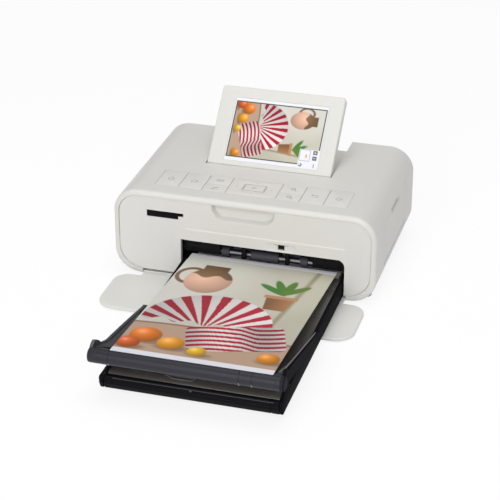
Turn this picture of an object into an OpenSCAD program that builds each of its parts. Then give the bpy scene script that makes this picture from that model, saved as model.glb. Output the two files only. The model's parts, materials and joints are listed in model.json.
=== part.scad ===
// Compact photo printer: a rounded sleeve with an inset front, a tilting screen in the top,
// a fold-down front cover, a ribbon door in the right side and a paper cassette that carries
// a tray frame and a finished print. X runs to the right, Y to the back, Z up.

/* [Casing] */
// Width of the casing
body_w = 180.6; // [176:0.1:200]
// Depth of the casing, front rim to back
body_d = 118; // [116:0.5:130]
// Height of the top face above the table
body_top = 63.3; // [62:0.1:70]
// Height of the rubber feet
foot_h = 1.5; // [1:0.1:2.5]
// Radius of a rubber foot
foot_r = 5; // [4:0.5:6]
// Distance of the feet's middle from the casing's side
foot_side = 10.8; // [10:0.1:16]
// Distance of the front feet from the front rim
foot_y = 17; // [12:0.5:24]
// Distance of the rear feet from the back
foot_back = 10; // [8:0.5:20]
// Thickness of the casing wall
wall = 2.2; // [1.8:0.1:2.6]
// Radius of the two upper long edges
top_r = 17; // [12:0.5:18]
// Radius of the two lower long edges
low_r = 17; // [14:0.1:18]
// Width of the rim round the front panel
rim_w = 3.7; // [3:0.1:5]
// Radius of the rim's two lower inner corners
rim_low_r = 16.6; // [14:0.1:17]
// Depth of the rim, back to the flange of the front panel
rim_d = 4; // [3:0.1:5]
// How far the front panel lies behind the rim
panel_inset = 1; // [0.5:0.1:1.5]
// Thickness of the front panel's flange
flange_t = 1.4; // [1:0.1:2]
// Thickness of the back cover
back_t = 2.4; // [2:0.1:3]
// Gap from the casing's side to the base plate's opening
base_side = 24.3; // [22:0.1:30]

/* [Front openings] */
// Middle of the paper mouth, right of the casing's middle
mouth_x = 12.95; // [10:0.05:14]
// Width of the paper mouth
mouth_w = 112.5; // [110:0.5:114]
// Height of the mouth's upper edge above the table
mouth_top = 31.6; // [30:0.1:32.5]
// Radius of the mouth's upper right corner
mouth_r = 5; // [2:0.5:8]
// Thickness of the black liner of the mouth
liner_t = 1; // [0.8:0.1:1.4]
// Height of the raised lintel above the mouth
lintel_h = 8.2; // [5:0.1:9]
// How far the lintel stands out of the front panel
lintel_out = 0.6; // [0.3:0.1:0.8]
// Left edge of the card slot
card_x = -66.7; // [-70:0.1:-66]
// Width of the card slot
card_w = 25.6; // [24:0.1:28]
// Underside of the card slot
card_z = 45.6; // [44.5:0.1:47]
// Height of the card slot
card_h = 4.7; // [3:0.1:4.9]
// Middle of the host socket in the lintel
host_x = 25.6; // [20:0.1:30]
// Width of the host socket's opening
host_w = 8.6; // [6:0.1:12]
// Half width of the finger recess at its top
finger_half_w = 21.5; // [18:0.5:24]
// Half width of the finger recess at its bottom
finger_low_half_w = 12; // [8:0.5:14]
// Floor of the finger recess
finger_z = 48.7; // [47:0.1:51]
// Depth of the finger recess
finger_d = 5; // [4:0.1:5.5]

/* [Front cover] */
// Gap from the casing's side to the fold-down cover's side
cover_side = 3.9; // [3.5:0.1:6]
// Length of the fold-down cover
cover_l = 46.5; // [44:0.5:52]
// Thickness of the fold-down cover
cover_t = 2.3; // [1.8:0.1:2.4]
// Gap from the hinge pin to the cover's plate
cover_gap = 7; // [6:0.1:9]
// Underside of the opened cover above the table
cover_z = 1; // [0.8:0.1:1.2]
// Radius of the cover's outer corners
cover_r = 13; // [8:0.5:16]
// Radius of the cover's corners beside the hinge
cover_hinge_r = 10.5; // [8:0.5:16]
// Gap from the casing's side to the hinge tongue
tongue_side = 20.3; // [20:0.1:30]
// Radius of the hinge barrel
cover_barrel_r = 1.2; // [1:0.05:1.2]
// Radius of the cover's hinge pins
cover_pin_r = 0.6; // [0.5:0.05:0.7]

/* [Ribbon door] */
// Middle of the door, behind the front rim
door_y = 59; // [57:0.5:61]
// Length of the door
door_l = 67.4; // [66:0.1:70]
// Height of the door's hinge pin above the table
door_z = 19.9; // [19:0.1:20.5]
// Height of the door's upper edge above the table
door_top = 50.2; // [50:0.1:52]
// Radius of the door's hinge pins
door_pin_r = 0.6; // [0.5:0.05:0.7]
// Length of the finger notch in the door's upper edge
notch_l = 26; // [20:0.5:30]
// Depth of the finger notch
notch_h = 3.6; // [3:0.1:4]

/* [Screen] */
// Width of the screen
screen_w = 87.4; // [80:0.1:90]
// Length of the screen from its front edge
screen_l = 56.6; // [54:0.1:57]
// Thickness of the screen
screen_t = 6.8; // [6:0.1:6.8]
// Middle of the screen, right of the casing's middle
screen_x = 1.5; // [0:0.1:2]
// Lean of the opened screen
screen_tilt = 45; // [30:1:60]
// Hinge pin of the screen, behind the front rim
screen_pin_y = 58; // [57:0.1:59]
// Radius of the screen's hinge pins
screen_pin_r = 1; // [0.8:0.05:1]
// Radius of the screen's hinge barrel
screen_barrel_r = 2.9; // [2.5:0.1:3]
// Width of the display window
window_w = 66; // [60:0.1:70]
// Length of the display window
window_l = 46.4; // [40:0.1:48]
// Display window from the screen's front edge
window_front = 2; // [1.5:0.1:4]
// Display window's middle, right of the screen's middle
window_x = 0.5; // [-1:0.1:1]
// Thickness of the screen's back shell
screen_back_t = 3; // [2.5:0.1:3.2]
// Thickness of the screen well's floor
well_floor_t = 1.4; // [1:0.1:1.6]
// Thickness of the screen well's side walls
well_side_t = 3.4; // [3:0.1:4]

/* [Keys] */
// Width of a key
key_w = 16.3; // [15:0.1:17]
// Width of the four-way pad
pad_w = 34.4; // [30:0.1:36]
// Length of the key row, front to back
key_l = 23.8; // [20:0.1:26]
// Front edge of the key row, behind the front rim
key_y = 13.7; // [13.5:0.1:15]
// Middle of the key row, right of the casing's middle
key_x = 0.8; // [0:0.1:1.5]
// Width of the middle key
ok_w = 15.4; // [12:0.1:17]
// Length of the middle key
ok_l = 10.3; // [8:0.1:12]
// Travel of a key
key_travel = 0.6; // [0.4:0.1:0.8]
// Thickness of the key board
key_board_t = 1.2; // [1:0.1:1.4]

/* [Cassette] */
// Width of the paper cassette
cassette_w = 110.9; // [109:0.1:111.5]
// Underside of the cassette above the table
cassette_z = 4.2; // [4.1:0.1:4.4]
// Front of the cassette ahead of the front rim
cassette_front = 147; // [140:0.5:150]
// Rear of the cassette behind the front rim
cassette_rear = 32; // [31:0.5:33]
// Height of the cassette's side walls
cassette_h = 11.8; // [11:0.1:12]
// Thickness of the cassette's walls
cassette_t = 2; // [1.6:0.1:2.2]
// Thickness of the cassette's floor
cassette_floor_t = 1.4; // [1:0.1:1.6]
// Height of the cassette's glossy front bar
front_bar_h = 9.6; // [8:0.1:9.6]
// How far the front bar reaches past the left side plate
front_bar_over = 3; // [1:0.1:4]
// Thickness of the smoky inner lid
lid_t = 1.4; // [1:0.1:1.6]
// Rear edge of the inner lid, behind the front rim
lid_rear = 3.4; // [1:0.1:4]
// Length of a sheet of paper
sheet_l = 148; // [140:1:150]
// Width of a sheet of paper
sheet_w = 100; // [95:0.5:101]
// Thickness of the paper stack
stack_t = 4.2; // [2:0.1:4.4]
// Thickness of the lift plate
lift_t = 1; // [0.8:0.1:1.2]
// Space under the lift plate
lift_gap = 3.2; // [3:0.1:3.4]

/* [Tray frame and print] */
// Round bar of the tray frame, ahead of the front rim
bar_y = 154; // [150:0.5:158]
// Height of the bar's axis above the table
bar_z = 28.2; // [26:0.1:30]
// Radius of the bar
bar_r = 6; // [5:0.1:6.5]
// Radius of the bar's journals
journal_r = 3; // [2:0.1:4]
// Left end of the bar
bar_left = -50.5; // [-54:0.5:-48]
// Right end of the bar
bar_right = 66; // [65.5:0.1:66.1]
// Length of the arms from the bar's axis
arm_l = 86; // [70:1:92]
// Slope of the arms down to the back
arm_slope = 9.7; // [9:0.1:10]
// Thickness of the arms
arm_t = 2; // [1.6:0.1:2.4]
// Width of the left ear of the cassette at the bar
ear_w = 4; // [2:0.1:5]
// Length of the print
print_l = 158.4; // [150:0.1:160]
// Rear edge of the print, behind the front rim
print_rear = 3.9; // [3:0.1:4.4]
// Thickness of the print
print_t = 0.3; // [0.2:0.05:0.4]

/* [Paper path] */
// Height of the paper path above the table
path_z = 18.2; // [18:0.1:18.4]
// Radius of the roller shafts
shaft_r = 2; // [1.5:0.1:2.2]
// Eject shaft, behind the front rim
eject_y = 10.2; // [10.2:0.1:10.6]
// Radius of the eject rollers
eject_r = 3.4; // [3:0.1:3.5]
// Width of the middle eject roller
eject_mid_w = 18.8; // [12:0.1:24]
// Width of the outer eject rollers
eject_side_w = 4.9; // [3:0.1:6]
// Outer eject rollers, from the middle of the mouth
eject_side_x = 27; // [26:0.5:32]
// Radius of the pick rollers
pick_r = 7.6; // [7:0.1:7.7]
// Width of a pick roller
pick_w = 12; // [8:0.5:13]
// Pick rollers, from the middle of the mouth
pick_x = 17; // [16.5:0.5:17.5]
// Flat of the pick rollers below their axis
pick_flat = 3.4; // [3:0.1:4]
// Radius of the platen roller
platen_r = 6; // [5:0.1:6.2]
// Radius of the capstan
capstan_r = 3; // [2.6:0.1:3.4]
// Radius of the pinch roller
pinch_r = 5; // [4:0.1:5.2]

/* [Ribbon and head] */
// Middle of the ribbon cassette, behind the front rim
ribbon_y = 59; // [58.8:0.1:59.2]
// Distance between the two spools
spool_span = 38; // [37.6:0.1:38.2]
// Height of the spools' axes above the table
spool_z = 36; // [35.8:0.1:36.2]
// Radius of the full supply spool
supply_r = 8; // [6:0.1:9]
// Radius of the take-up spool
takeup_r = 5.5; // [4:0.1:9]
// Radius of the spool chambers
chamber_r = 9.6; // [9.3:0.1:9.7]
// Width of the thermal head, front to back
head_w = 10; // [8:0.1:12]
// Thickness of the head arm
arm_plate_t = 1.2; // [1:0.1:1.4]
// Pivot of the head arm, behind the front rim
head_pivot_y = 104; // [103.5:0.1:105]
// Height of the head arm's pivot above the table
head_pivot_z = 46.6; // [46:0.1:47]

/* [Drive] */
// Module of the gears
gear_m = 0.8; // [0.8:0.01:0.8]
// Thickness of the gears
gear_t = 3; // [2:0.1:3.2]
// Teeth of the take-up gear
takeup_n = 58; // [58:1:58]
// Teeth of the platen gear
platen_n = 18; // [18:1:18]
// Teeth of the capstan gear
capstan_n = 12; // [12:1:12]
// Teeth of the feed idler
idler_n = 32; // [32:1:32]
// Teeth of the pick gear
pick_n = 18; // [18:1:18]
// Teeth of the eject gear
eject_n = 10; // [10:1:10]
// Teeth of the motor pinion
pinion_n = 10; // [10:1:10]
// Radius of the motor
motor_r = 12; // [10:0.5:12.5]
// Length of the motor
motor_l = 20; // [16:0.5:22]
// Side of the cooling fan
fan_w = 30; // [28:0.5:31]
// Thickness of the cooling fan
fan_t = 10; // [8:0.5:10.5]
// Thickness of the chassis plates
chassis_t = 1.5; // [1.2:0.1:1.6]

/* [Boards and fan] */
// Gap from the casing's side to the main board
board_side = 10.3; // [8:0.1:14]
// Front edge of the main board, behind the front rim
board_front = 12; // [8:0.5:14]
// Length of the main board
board_l = 86; // [70:1:88]
// Underside of the main board above the table
board_z = 12; // [8:0.5:14]
// Left base screws from the casing's side
screw_side = 29.3; // [28:0.1:31]
// Right base screws from the right chassis plate
screw_gap = 11.4; // [11:0.1:14]
// Middle of the power inlet from the casing's side
inlet_side = 10.3; // [10:0.1:11]
// Height of the power inlet above the table
inlet_z = 34; // [28:0.5:44]
// Radius of the power inlet's collar
inlet_r = 4; // [3.5:0.1:4.5]
// Gap from the casing's side to the fan
fan_side = 6.3; // [6:0.1:8]
// Underside of the fan above the table
fan_z = 24; // [22:0.5:24]

/* [Fits] */
// Gap round a key, door or cover
seam = 0.3; // [0.2:0.05:0.35]
// Radial clearance of a running shaft
running = 0.05; // [0.03:0.01:0.08]
// Gap where parts pass each other
pass = 0.4; // [0.3:0.05:0.5]

/* [Hidden] */
$fn = 48;
eps = 0.01;
cut = 1;

belly = foot_h;
inner_top = body_top - wall;
inner_floor = belly + wall;
tray_reach = bar_y + bar_r;
front_y = (tray_reach - body_d) / 2;

// Front parts
panel_back = rim_d + flange_t;
mouth_left = mouth_x - mouth_w / 2;
mouth_right = mouth_x + mouth_w / 2;
lintel_left = mouth_left + 3;
lintel_right = mouth_right - 2;
liner_back = 28;
finger_r = 9;
cup_t = 1.4;
host_z = mouth_top + liner_t + 0.3;
host_h = 2.6;
cover_pin_y = 1.5;
cover_pin_z = cover_z + 1.5;
tongue_gap_top = belly + rim_w + seam;
pin_l = 3;

// What keeps its distance from the casing's sides
foot_x = body_w / 2 - foot_side;
base_half_w = body_w / 2 - base_side;
cover_w = body_w - 2 * cover_side;
tongue_half_w = body_w / 2 - tongue_side;
tongue_gap_half_w = tongue_half_w + 2 * seam;
board_left = board_side - body_w / 2;
screw_left = screw_side - body_w / 2;
inlet_x = body_w / 2 - inlet_side;
fan_x = fan_side - body_w / 2;

// Ribbon door
door_pin_x = body_w / 2 - wall / 2;
door_y0 = door_y - door_l / 2;
door_y1 = door_y + door_l / 2;

// Screen, drawn closed and then turned up about its pin
screen_face = body_top - 0.1;
screen_pin_z = inner_top - screen_pin_r - 0.1;
screen_front = screen_pin_y + screen_barrel_r + seam;
screen_under = screen_face - screen_t;
well_left = screen_x - screen_w / 2 - 2 * pass;
well_right = screen_x + screen_w / 2 + 2 * pass;
well_front = screen_pin_y - screen_barrel_r - pass;
well_top = screen_under - 2 * pass;
well_under = well_top - well_floor_t;
well_wall = 1.6;

// Keys
key_row_w = 6 * key_w + pad_w;
key_left = key_x - key_row_w / 2;
key_lip = 1;
key_lip_top = inner_top - 0.2;
key_under = key_lip_top - 1;
dome_h = 0.5;
stem_l = 0.95;
key_board_top = key_under - stem_l - key_travel - 0.05 - dome_h;
key_board_y1 = well_front - well_wall - 2.7;
post_r = 1.6;

// Cassette
cassette_left = mouth_x - cassette_w / 2;
cassette_right = mouth_x + cassette_w / 2;
cassette_top = cassette_z + cassette_h;
cassette_floor = cassette_z + cassette_floor_t;
lid_top = cassette_top - 0.2;
front_bar_t = min(front_bar_h, cassette_h - 0.2 - lid_t - 0.3);
lift_z = cassette_floor + lift_gap;
stack_z = lift_z + lift_t;
stack_rear = cassette_rear - cassette_t - pass;
nose_r = 5;
print_dz = bar_z + bar_r + 0.25 - path_z - 1.7;
print_angle = asin(print_dz / print_l);
print_z = bar_z + bar_r + 0.25 - print_dz;
print_left = mouth_x - sheet_w / 2 + 0.75;
arm_clear = 0.7;

// Rollers and gears, as [y, z]
function gear_r(n) = gear_m * n / 2;
function drop_y(d, dz) = sqrt(d * d - dz * dz);
platen_z = path_z - platen_r;
capstan_z = path_z - capstan_r;
eject_z = path_z - 0.2 + eject_r;
pick_z = eject_z + 0.6;
takeup_y = ribbon_y + spool_span / 2;
supply_y = ribbon_y - spool_span / 2;
takeup_at = [takeup_y, spool_z];
platen_at = [takeup_y - drop_y(gear_r(takeup_n) + gear_r(platen_n), spool_z - platen_z), platen_z];
capstan_at = [takeup_y + drop_y(gear_r(takeup_n) + gear_r(capstan_n), spool_z - capstan_z), capstan_z];
pinch_at = [capstan_at[0], path_z + 0.2 + pinch_r];
eject_at = [eject_y, eject_z];
pick_at = [eject_y + drop_y(gear_r(eject_n) + gear_r(pick_n), pick_z - eject_z), pick_z];
motor_dz = 4;
motor_at = [takeup_y - drop_y(gear_r(takeup_n) + gear_r(pinion_n), motor_dz), spool_z + motor_dz];

// Centre of the idler that meshes with the platen and pick gears
idler_reach = gear_r(platen_n) + gear_r(idler_n);
feed_span = norm(pick_at - platen_at);
feed_dir = (pick_at - platen_at) / feed_span;
idler_rise = sqrt(idler_reach * idler_reach - feed_span * feed_span / 4);
idler_at = (platen_at + pick_at) / 2 + idler_rise * [feed_dir[1], -feed_dir[0]];

// Direction from one axis to the next, and the turn that puts a gap where the other has a tooth
function heading(a, b) = atan2(b[1] - a[1], b[0] - a[0]);
function mesh(pa, na, nb, dir) = dir + 180 - (0.5 - (dir - pa) * na / 360) * 360 / nb;
platen_turn = mesh(0, takeup_n, platen_n, heading(takeup_at, platen_at));
capstan_turn = mesh(0, takeup_n, capstan_n, heading(takeup_at, capstan_at));
pinion_turn = mesh(0, takeup_n, pinion_n, heading(takeup_at, motor_at));
idler_turn = mesh(platen_turn, platen_n, idler_n, heading(platen_at, idler_at));
pick_turn = mesh(idler_turn, idler_n, pick_n, heading(idler_at, pick_at));
eject_turn = mesh(pick_turn, pick_n, eject_n, heading(pick_at, eject_at));

// Chassis
chassis_left_x = mouth_left - liner_t - 1.4 - chassis_t;
chassis_right_x = mouth_right + liner_t + 2.2;
chassis_in_left = chassis_left_x + chassis_t;
chassis_y0 = 8;
chassis_y1 = body_d - 6;
chassis_z0 = inner_floor + 0.5;
chassis_top = well_under - 2.2;
gear_x = min(chassis_left_x - 1.2, well_left - well_side_t - 0.6) - gear_t;
board_right = gear_x - 3.1;
screw_right = chassis_right_x - screw_gap;
shaft_left = gear_x - 0.6;
shaft_right = chassis_right_x + chassis_t + 1;
paper_left = print_left;
paper_right = print_left + sheet_w;

// Ribbon case
ribbon_bottom = path_z + 4.2;
ribbon_top = chassis_top - 2.4;
ribbon_left = chassis_in_left + 1.4;
ribbon_right = chassis_right_x - 1.4;
ribbon_gap = 8;
ribbon_wall = 1;
ribbon_end = 2.5;
ribbon_front = supply_y - chamber_r - ribbon_wall;
ribbon_rear = takeup_y + chamber_r + ribbon_wall;
hub_r = 2.5;
film_z = path_z + 0.5;
film_t = 0.2;

// Head arm
head_plate_z = ribbon_top + 1;
head_bottom = film_z + film_t + 0.4;
head_pin_r = 1.5;
head_left = ribbon_left + ribbon_end + 1;
head_right = ribbon_right - ribbon_end - 1;

module from_front() { translate([0, front_y, 0]) children(); }

module box(x0, x1, y0, y1, z0, z1) { translate([x0, y0, z0]) cube([x1 - x0, y1 - y0, z1 - z0]); }

module along_x(x0, x1) { translate([x0, 0, 0]) rotate([90, 0, 90]) linear_extrude(x1 - x0) children(); }

module along_y(y0, y1) { translate([0, y1, 0]) rotate([90, 0, 0]) linear_extrude(y1 - y0) children(); }

module rod_x(x0, x1, at, r) { translate([x0, at[0], at[1]]) rotate([0, 90, 0]) cylinder(h = x1 - x0,
    r = r); }

module rod_y(y0, y1, x, z, r) { translate([x, y1, z]) rotate([90, 0, 0]) cylinder(h = y1 - y0, r = r); }

// Flat outline of the casing, grown by d, or with its own radius at the lower corners
module outline(d, low = 0) {
    hw = body_w / 2 + d;
    zt = body_top + d;
    zb = belly - d;
    rt = top_r + d;
    rl = low > 0 ? low : low_r + d;
    translate([-hw + rl, zb]) square([2 * (hw - rl), zt - zb]);
    translate([-hw, zb + rl]) square([2 * hw, zt - rt - zb - rl]);
    translate([-hw + rt, zt - rt]) square([2 * (hw - rt), rt]);
    for (side = [-1, 1]) {
        translate([side * (hw - rl), zb + rl]) circle(rl);
        translate([side * (hw - rt), zt - rt]) circle(rt);
    }
}

// Rectangle with one radius at its front corners and one at its rear corners
module soft_rect(x0, x1, y0, y1, rf, rb) {
    rm = max(rf, rb);
    translate([x0, y0 + rf]) square([x1 - x0, y1 - y0 - rf - rb]);
    translate([x0 + rm, y0]) square([x1 - x0 - 2 * rm, y1 - y0]);
    translate([x0 + rf, y0]) square([x1 - x0 - 2 * rf, rf]);
    translate([x0 + rb, y1 - rb]) square([x1 - x0 - 2 * rb, rb]);
    for (x = [x0 + rf, x1 - rf]) translate([x, y0 + rf]) circle(rf);
    for (x = [x0 + rb, x1 - rb]) translate([x, y1 - rb]) circle(rb);
}

// Toothed outline with straight flanks
module gear_outline(n, turn) {
    r = gear_r(n);
    pitch = 360 / n;
    polygon([for (i = [0 : n - 1]) for (p = [[-0.27, -1], [-0.11, 0.75], [0.11, 0.75], [0.27, -1]])
        let (a = turn + (i + p[0]) * pitch, q = r + p[1] * gear_m) q * [cos(a), sin(a)]]);
}

module gear(at, n, turn, bore_r) {
    along_x(gear_x, gear_x + gear_t) translate(at) difference() {
        gear_outline(n, turn);
        circle(bore_r);
    }
}

module mouth_shape(z0) {
    translate([mouth_left, z0]) square([mouth_w, mouth_top - mouth_r - z0]);
    translate([mouth_left, mouth_top - mouth_r - eps]) square([mouth_w - mouth_r, mouth_r + eps]);
    translate([mouth_right - mouth_r, mouth_top - mouth_r]) circle(mouth_r);
}

module finger_shape(d) {
    z0 = finger_z - d;
    z1 = body_top - rim_w - 0.8 + d;
    hw = finger_half_w + d;
    lw = finger_low_half_w + d;
    rise = finger_r + d;
    polygon([[-lw, z0], [lw, z0], [lw + rise * 0.6, z0 + rise * 0.28], [hw - 0.4, z0 + rise],
        [hw, z1], [-hw, z1], [-hw + 0.4, z0 + rise], [-lw - rise * 0.6, z0 + rise * 0.28]]);
}

module outer_case() {
    color("#e6e4de") from_front() difference() {
        union() {
            difference() {
                along_y(0, body_d) outline(0);
                along_y(rim_d, body_d + cut) outline(-wall);
                along_y(-cut, rim_d + cut) outline(-rim_w, rim_low_r);
            }
            for (x = [-30, 30]) for (y = [key_y - key_lip - post_r - 0.5, key_y + key_l + 7.5])
                translate([x + key_x, y,
                    key_board_top]) cylinder(h = inner_top - key_board_top + eps, r = post_r);
        }
        box(well_left, well_right, well_front, body_d + cut, well_top, body_top + cut);
        box(key_left, key_left + key_row_w, key_y, key_y + key_l, inner_top - cut, body_top + cut);
        box(-base_half_w, base_half_w, rim_d + 1, body_d - back_t - 1, belly - cut, inner_floor + cut);
        // Opening of the ribbon door, with a round seat for its barrel
        box(body_w / 2 - top_r, body_w / 2 + cut, door_y0 - seam, door_y1 + seam, door_z,
            door_top + seam);
        rod_y(door_y0 - seam, door_y1 + seam, door_pin_x, door_z, wall / 2 + seam);
        // Room below the barrel for the leaf when it is let down
        box(door_pin_x, body_w / 2 + cut, door_y0 - seam, door_y1 + seam, door_z - wall / 2 - seam - 0.15,
            door_z + seam);
        rod_y(door_y0 - seam - pin_l, door_y1 + seam + pin_l, door_pin_x, door_z, door_pin_r + running);
        // Notch and pin bores of the front cover
        box(-tongue_gap_half_w, tongue_gap_half_w, -cut, rim_d + cut, belly - cut, tongue_gap_top);
        rod_x(-tongue_gap_half_w - pin_l, tongue_gap_half_w + pin_l, [cover_pin_y, cover_pin_z],
            cover_pin_r + running);
    }
}

module front_panel() {
    color("#dddbd5") from_front() difference() {
        union() {
            along_y(panel_inset, rim_d) outline(-rim_w - seam, rim_low_r - seam);
            along_y(rim_d, panel_back) outline(-wall - 0.1);
            box(lintel_left, lintel_right, panel_inset - lintel_out, rim_d, mouth_top,
                mouth_top + lintel_h);
            along_y(panel_back - eps, panel_inset + finger_d + cup_t) finger_shape(cup_t - 0.4);
        }
        along_y(-cut, panel_back + cut) mouth_shape(belly - cut);
        along_y(-cut, panel_inset + finger_d) finger_shape(0);
        box(card_x, card_x + card_w, -cut, panel_back + cut, card_z, card_z + card_h);
        box(host_x - host_w / 2, host_x + host_w / 2, -cut, panel_back + cut, host_z, host_z + host_h);
        box(-tongue_gap_half_w, tongue_gap_half_w, -cut, panel_back + cut, belly - cut, tongue_gap_top);
    }
}

module paper_mouth() {
    color("#17171a") from_front() difference() {
        along_y(panel_back, liner_back) difference() {
            translate([mouth_left - liner_t, inner_floor + 0.2])
                square([mouth_w + 2 * liner_t, mouth_top + liner_t - inner_floor - 0.2]);
            mouth_shape(inner_floor - cut);
        }
        for (at = [eject_at, pick_at])
            rod_x(mouth_left - 2 * liner_t, mouth_right + 2 * liner_t, at, shaft_r + pass);
    }
}

module base_plate() {
    y0 = rim_d + 1 + 0.15;
    y1 = body_d - back_t - 1 - 0.15;
    color("#cfccc5") from_front() difference() {
        union() {
            box(-base_half_w + 0.15, base_half_w - 0.15, y0, y1, belly, inner_floor + 0.2);
            for (at = board_posts()) translate([at[0], at[1], inner_floor])
                cylinder(h = board_z - inner_floor, r = 3);
        }
        for (at = board_posts()) translate([at[0], at[1], belly - cut]) {
            cylinder(h = cut + 1.4, r = 3);
            cylinder(h = cut + board_z - belly + eps, r = 1.5);
        }
        for (i = [0 : 7]) box(-30 + i * 9, -26 + i * 9, body_d - 22, body_d - 8, belly - cut,
            inner_floor + cut);
    }
}

function board_posts() = [[screw_left, board_front + 14], [screw_left, board_front + board_l - 14],
    [screw_right, cassette_rear + 11],
    [screw_right, cassette_rear + 56]];

module back_cover() {
    color("#dddbd5") from_front() difference() {
        along_y(body_d - back_t, body_d) outline(-wall - 0.1);
        box(well_left - well_side_t - 0.1, well_right + well_side_t + 0.1, body_d - back_t - cut,
            body_d + cut,
            well_under - 0.1, body_top + cut);
        box(paper_left - 3, paper_right + 3, body_d - back_t - cut, body_d + cut, path_z - 2.2,
            path_z + 3.4);
        for (i = [0 : 6]) box(fan_x + 3 + i * 3.8, fan_x + 5 + i * 3.8, body_d - back_t - cut,
            body_d + cut,
            fan_z + 3, fan_z + fan_w - 3);
        rod_y(body_d - back_t - cut, body_d + cut, inlet_x, inlet_z, inlet_r + 0.15);
    }
}

module rubber_feet() {
    color("#8a877f") from_front() difference() {
        for (x = [-foot_x, foot_x]) for (y = [foot_y, body_d - foot_back])
            translate([x, y, 0]) cylinder(h = low_r / 2, r = foot_r);
        along_y(-cut, body_d + cut) outline(0);
    }
}

module case_screws() {
    color("silver") from_front() for (at = board_posts()) translate([at[0], at[1], belly + 0.2]) {
        cylinder(h = 1.2, r = 2.8);
        cylinder(h = 7, r = 1.5);
    }
}

module screen_well() {
    color("#d4d2cc") from_front() difference() {
        box(well_left - well_side_t, well_right + well_side_t, well_front - well_wall, body_d,
            well_under, inner_top);
        box(well_left, well_right, well_front, body_d + cut, well_top, body_top);
        rod_x(well_left - well_side_t - cut, well_right + well_side_t + cut, [screen_pin_y,
            screen_pin_z],
            screen_pin_r + running);
    }
}

// Turns what is drawn closed up to the screen's lean
module tilted() {
    from_front() translate([0, screen_pin_y, screen_pin_z]) rotate([screen_tilt, 0, 0])
        translate([0, -screen_pin_y, -screen_pin_z]) children();
}

module screen_plan() {
    soft_rect(screen_x - screen_w / 2, screen_x + screen_w / 2, screen_front,
        screen_front + screen_l, 0.8, 2.2);
}

module screen_frame() {
    x0 = screen_x + window_x - window_w / 2;
    y0 = screen_front + window_front;
    color("#e2e1dc") tilted() difference() {
        translate([0, 0, screen_under + screen_back_t]) linear_extrude(screen_t - screen_back_t)
            screen_plan();
        box(x0, x0 + window_w, y0, y0 + window_l, screen_under, screen_face + cut);
    }
}

module display_panel() {
    x0 = screen_x + window_x - window_w / 2;
    y0 = screen_front + window_front;
    color("#c8b4a8") tilted() box(x0 + 0.1, x0 + window_w - 0.1, y0 + 0.1, y0 + window_l - 0.1,
        screen_under + screen_back_t, screen_face - 0.3);
}

module screen_back() {
    z1 = screen_under + screen_back_t;
    color("#d9d7d1") tilted() difference() {
        union() {
            translate([0, 0, screen_under]) linear_extrude(screen_back_t) screen_plan();
            rod_x(screen_x - screen_w / 2, screen_x + screen_w / 2, [screen_pin_y, screen_pin_z],
                screen_barrel_r);
            box(screen_x - screen_w / 2, screen_x + screen_w / 2, screen_pin_y, screen_front + 1,
                screen_under + 0.6, z1);
        }
        rod_x(screen_x - screen_w / 2 - cut, screen_x - screen_w / 2 + 6, [screen_pin_y,
            screen_pin_z], screen_pin_r);
        rod_x(screen_x + screen_w / 2 - 6, screen_x + screen_w / 2 + cut, [screen_pin_y,
            screen_pin_z], screen_pin_r);
    }
}

module screen_pins() {
    x0 = screen_x - screen_w / 2;
    x1 = screen_x + screen_w / 2;
    color("silver") tilted() {
        rod_x(well_left - well_side_t + 0.4, x0 + 6, [screen_pin_y, screen_pin_z], screen_pin_r);
        rod_x(x1 - 6, well_right + well_side_t - 0.4, [screen_pin_y, screen_pin_z], screen_pin_r);
    }
}

module front_cover() {
    at = [cover_pin_y, cover_pin_z];
    y1 = cover_pin_y - cover_gap;
    color("#e3e1dc") from_front() {
        translate([0, 0, cover_z]) linear_extrude(cover_t) difference() {
            soft_rect(-cover_w / 2, cover_w / 2, y1 - cover_l, y1, cover_r, cover_hinge_r);
        }
        box(-tongue_half_w, tongue_half_w, y1 - eps, cover_pin_y - 0.6, cover_z + 0.3,
            cover_z + cover_t);
        rod_x(-tongue_half_w, tongue_half_w, at, cover_barrel_r);
        rod_x(-tongue_half_w - pin_l, tongue_half_w + pin_l, at, cover_pin_r);
    }
}

module ribbon_door() {
    color("#e4e2dc") from_front() difference() {
        union() {
            intersection() {
                along_y(door_y0, door_y1) difference() {
                    outline(0);
                    outline(-wall);
                }
                box(body_w / 2 - top_r, body_w / 2 + cut, door_y0, door_y1, door_z, door_top);
            }
            rod_y(door_y0, door_y1, door_pin_x, door_z, wall / 2);
            rod_y(door_y0 - pin_l, door_y1 + pin_l, door_pin_x, door_z, door_pin_r);
        }
        box(body_w / 2 - top_r, body_w / 2 + cut, door_y - notch_l / 2, door_y + notch_l / 2,
            door_top - notch_h, door_top + cut);
    }
}

// A key cap between x0 and x1, y0 and y1, with a lip at the front, at the back or at both
module key(x0, x1, y0, y1, front_lip, back_lip) {
    gap = seam / 2;
    color("#e4e2dd") from_front() difference() {
        union() {
            box(x0 + gap, x1 - gap, y0 + gap, y1 - gap, key_under, body_top);
            box(x0 + gap, x1 - gap, y0 + gap - front_lip, y1 - gap + back_lip, key_under, key_lip_top);
            translate([(x0 + x1) / 2, (y0 + y1) / 2, key_under - stem_l]) cylinder(h = stem_l + eps,
                r = 1.5);
        }
    }
}

function column(i) = key_left + i * key_w + (i > 3 ? pad_w - key_w : 0);
key_mid = key_y + key_l / 2;
key_back = key_y + key_l;

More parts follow.
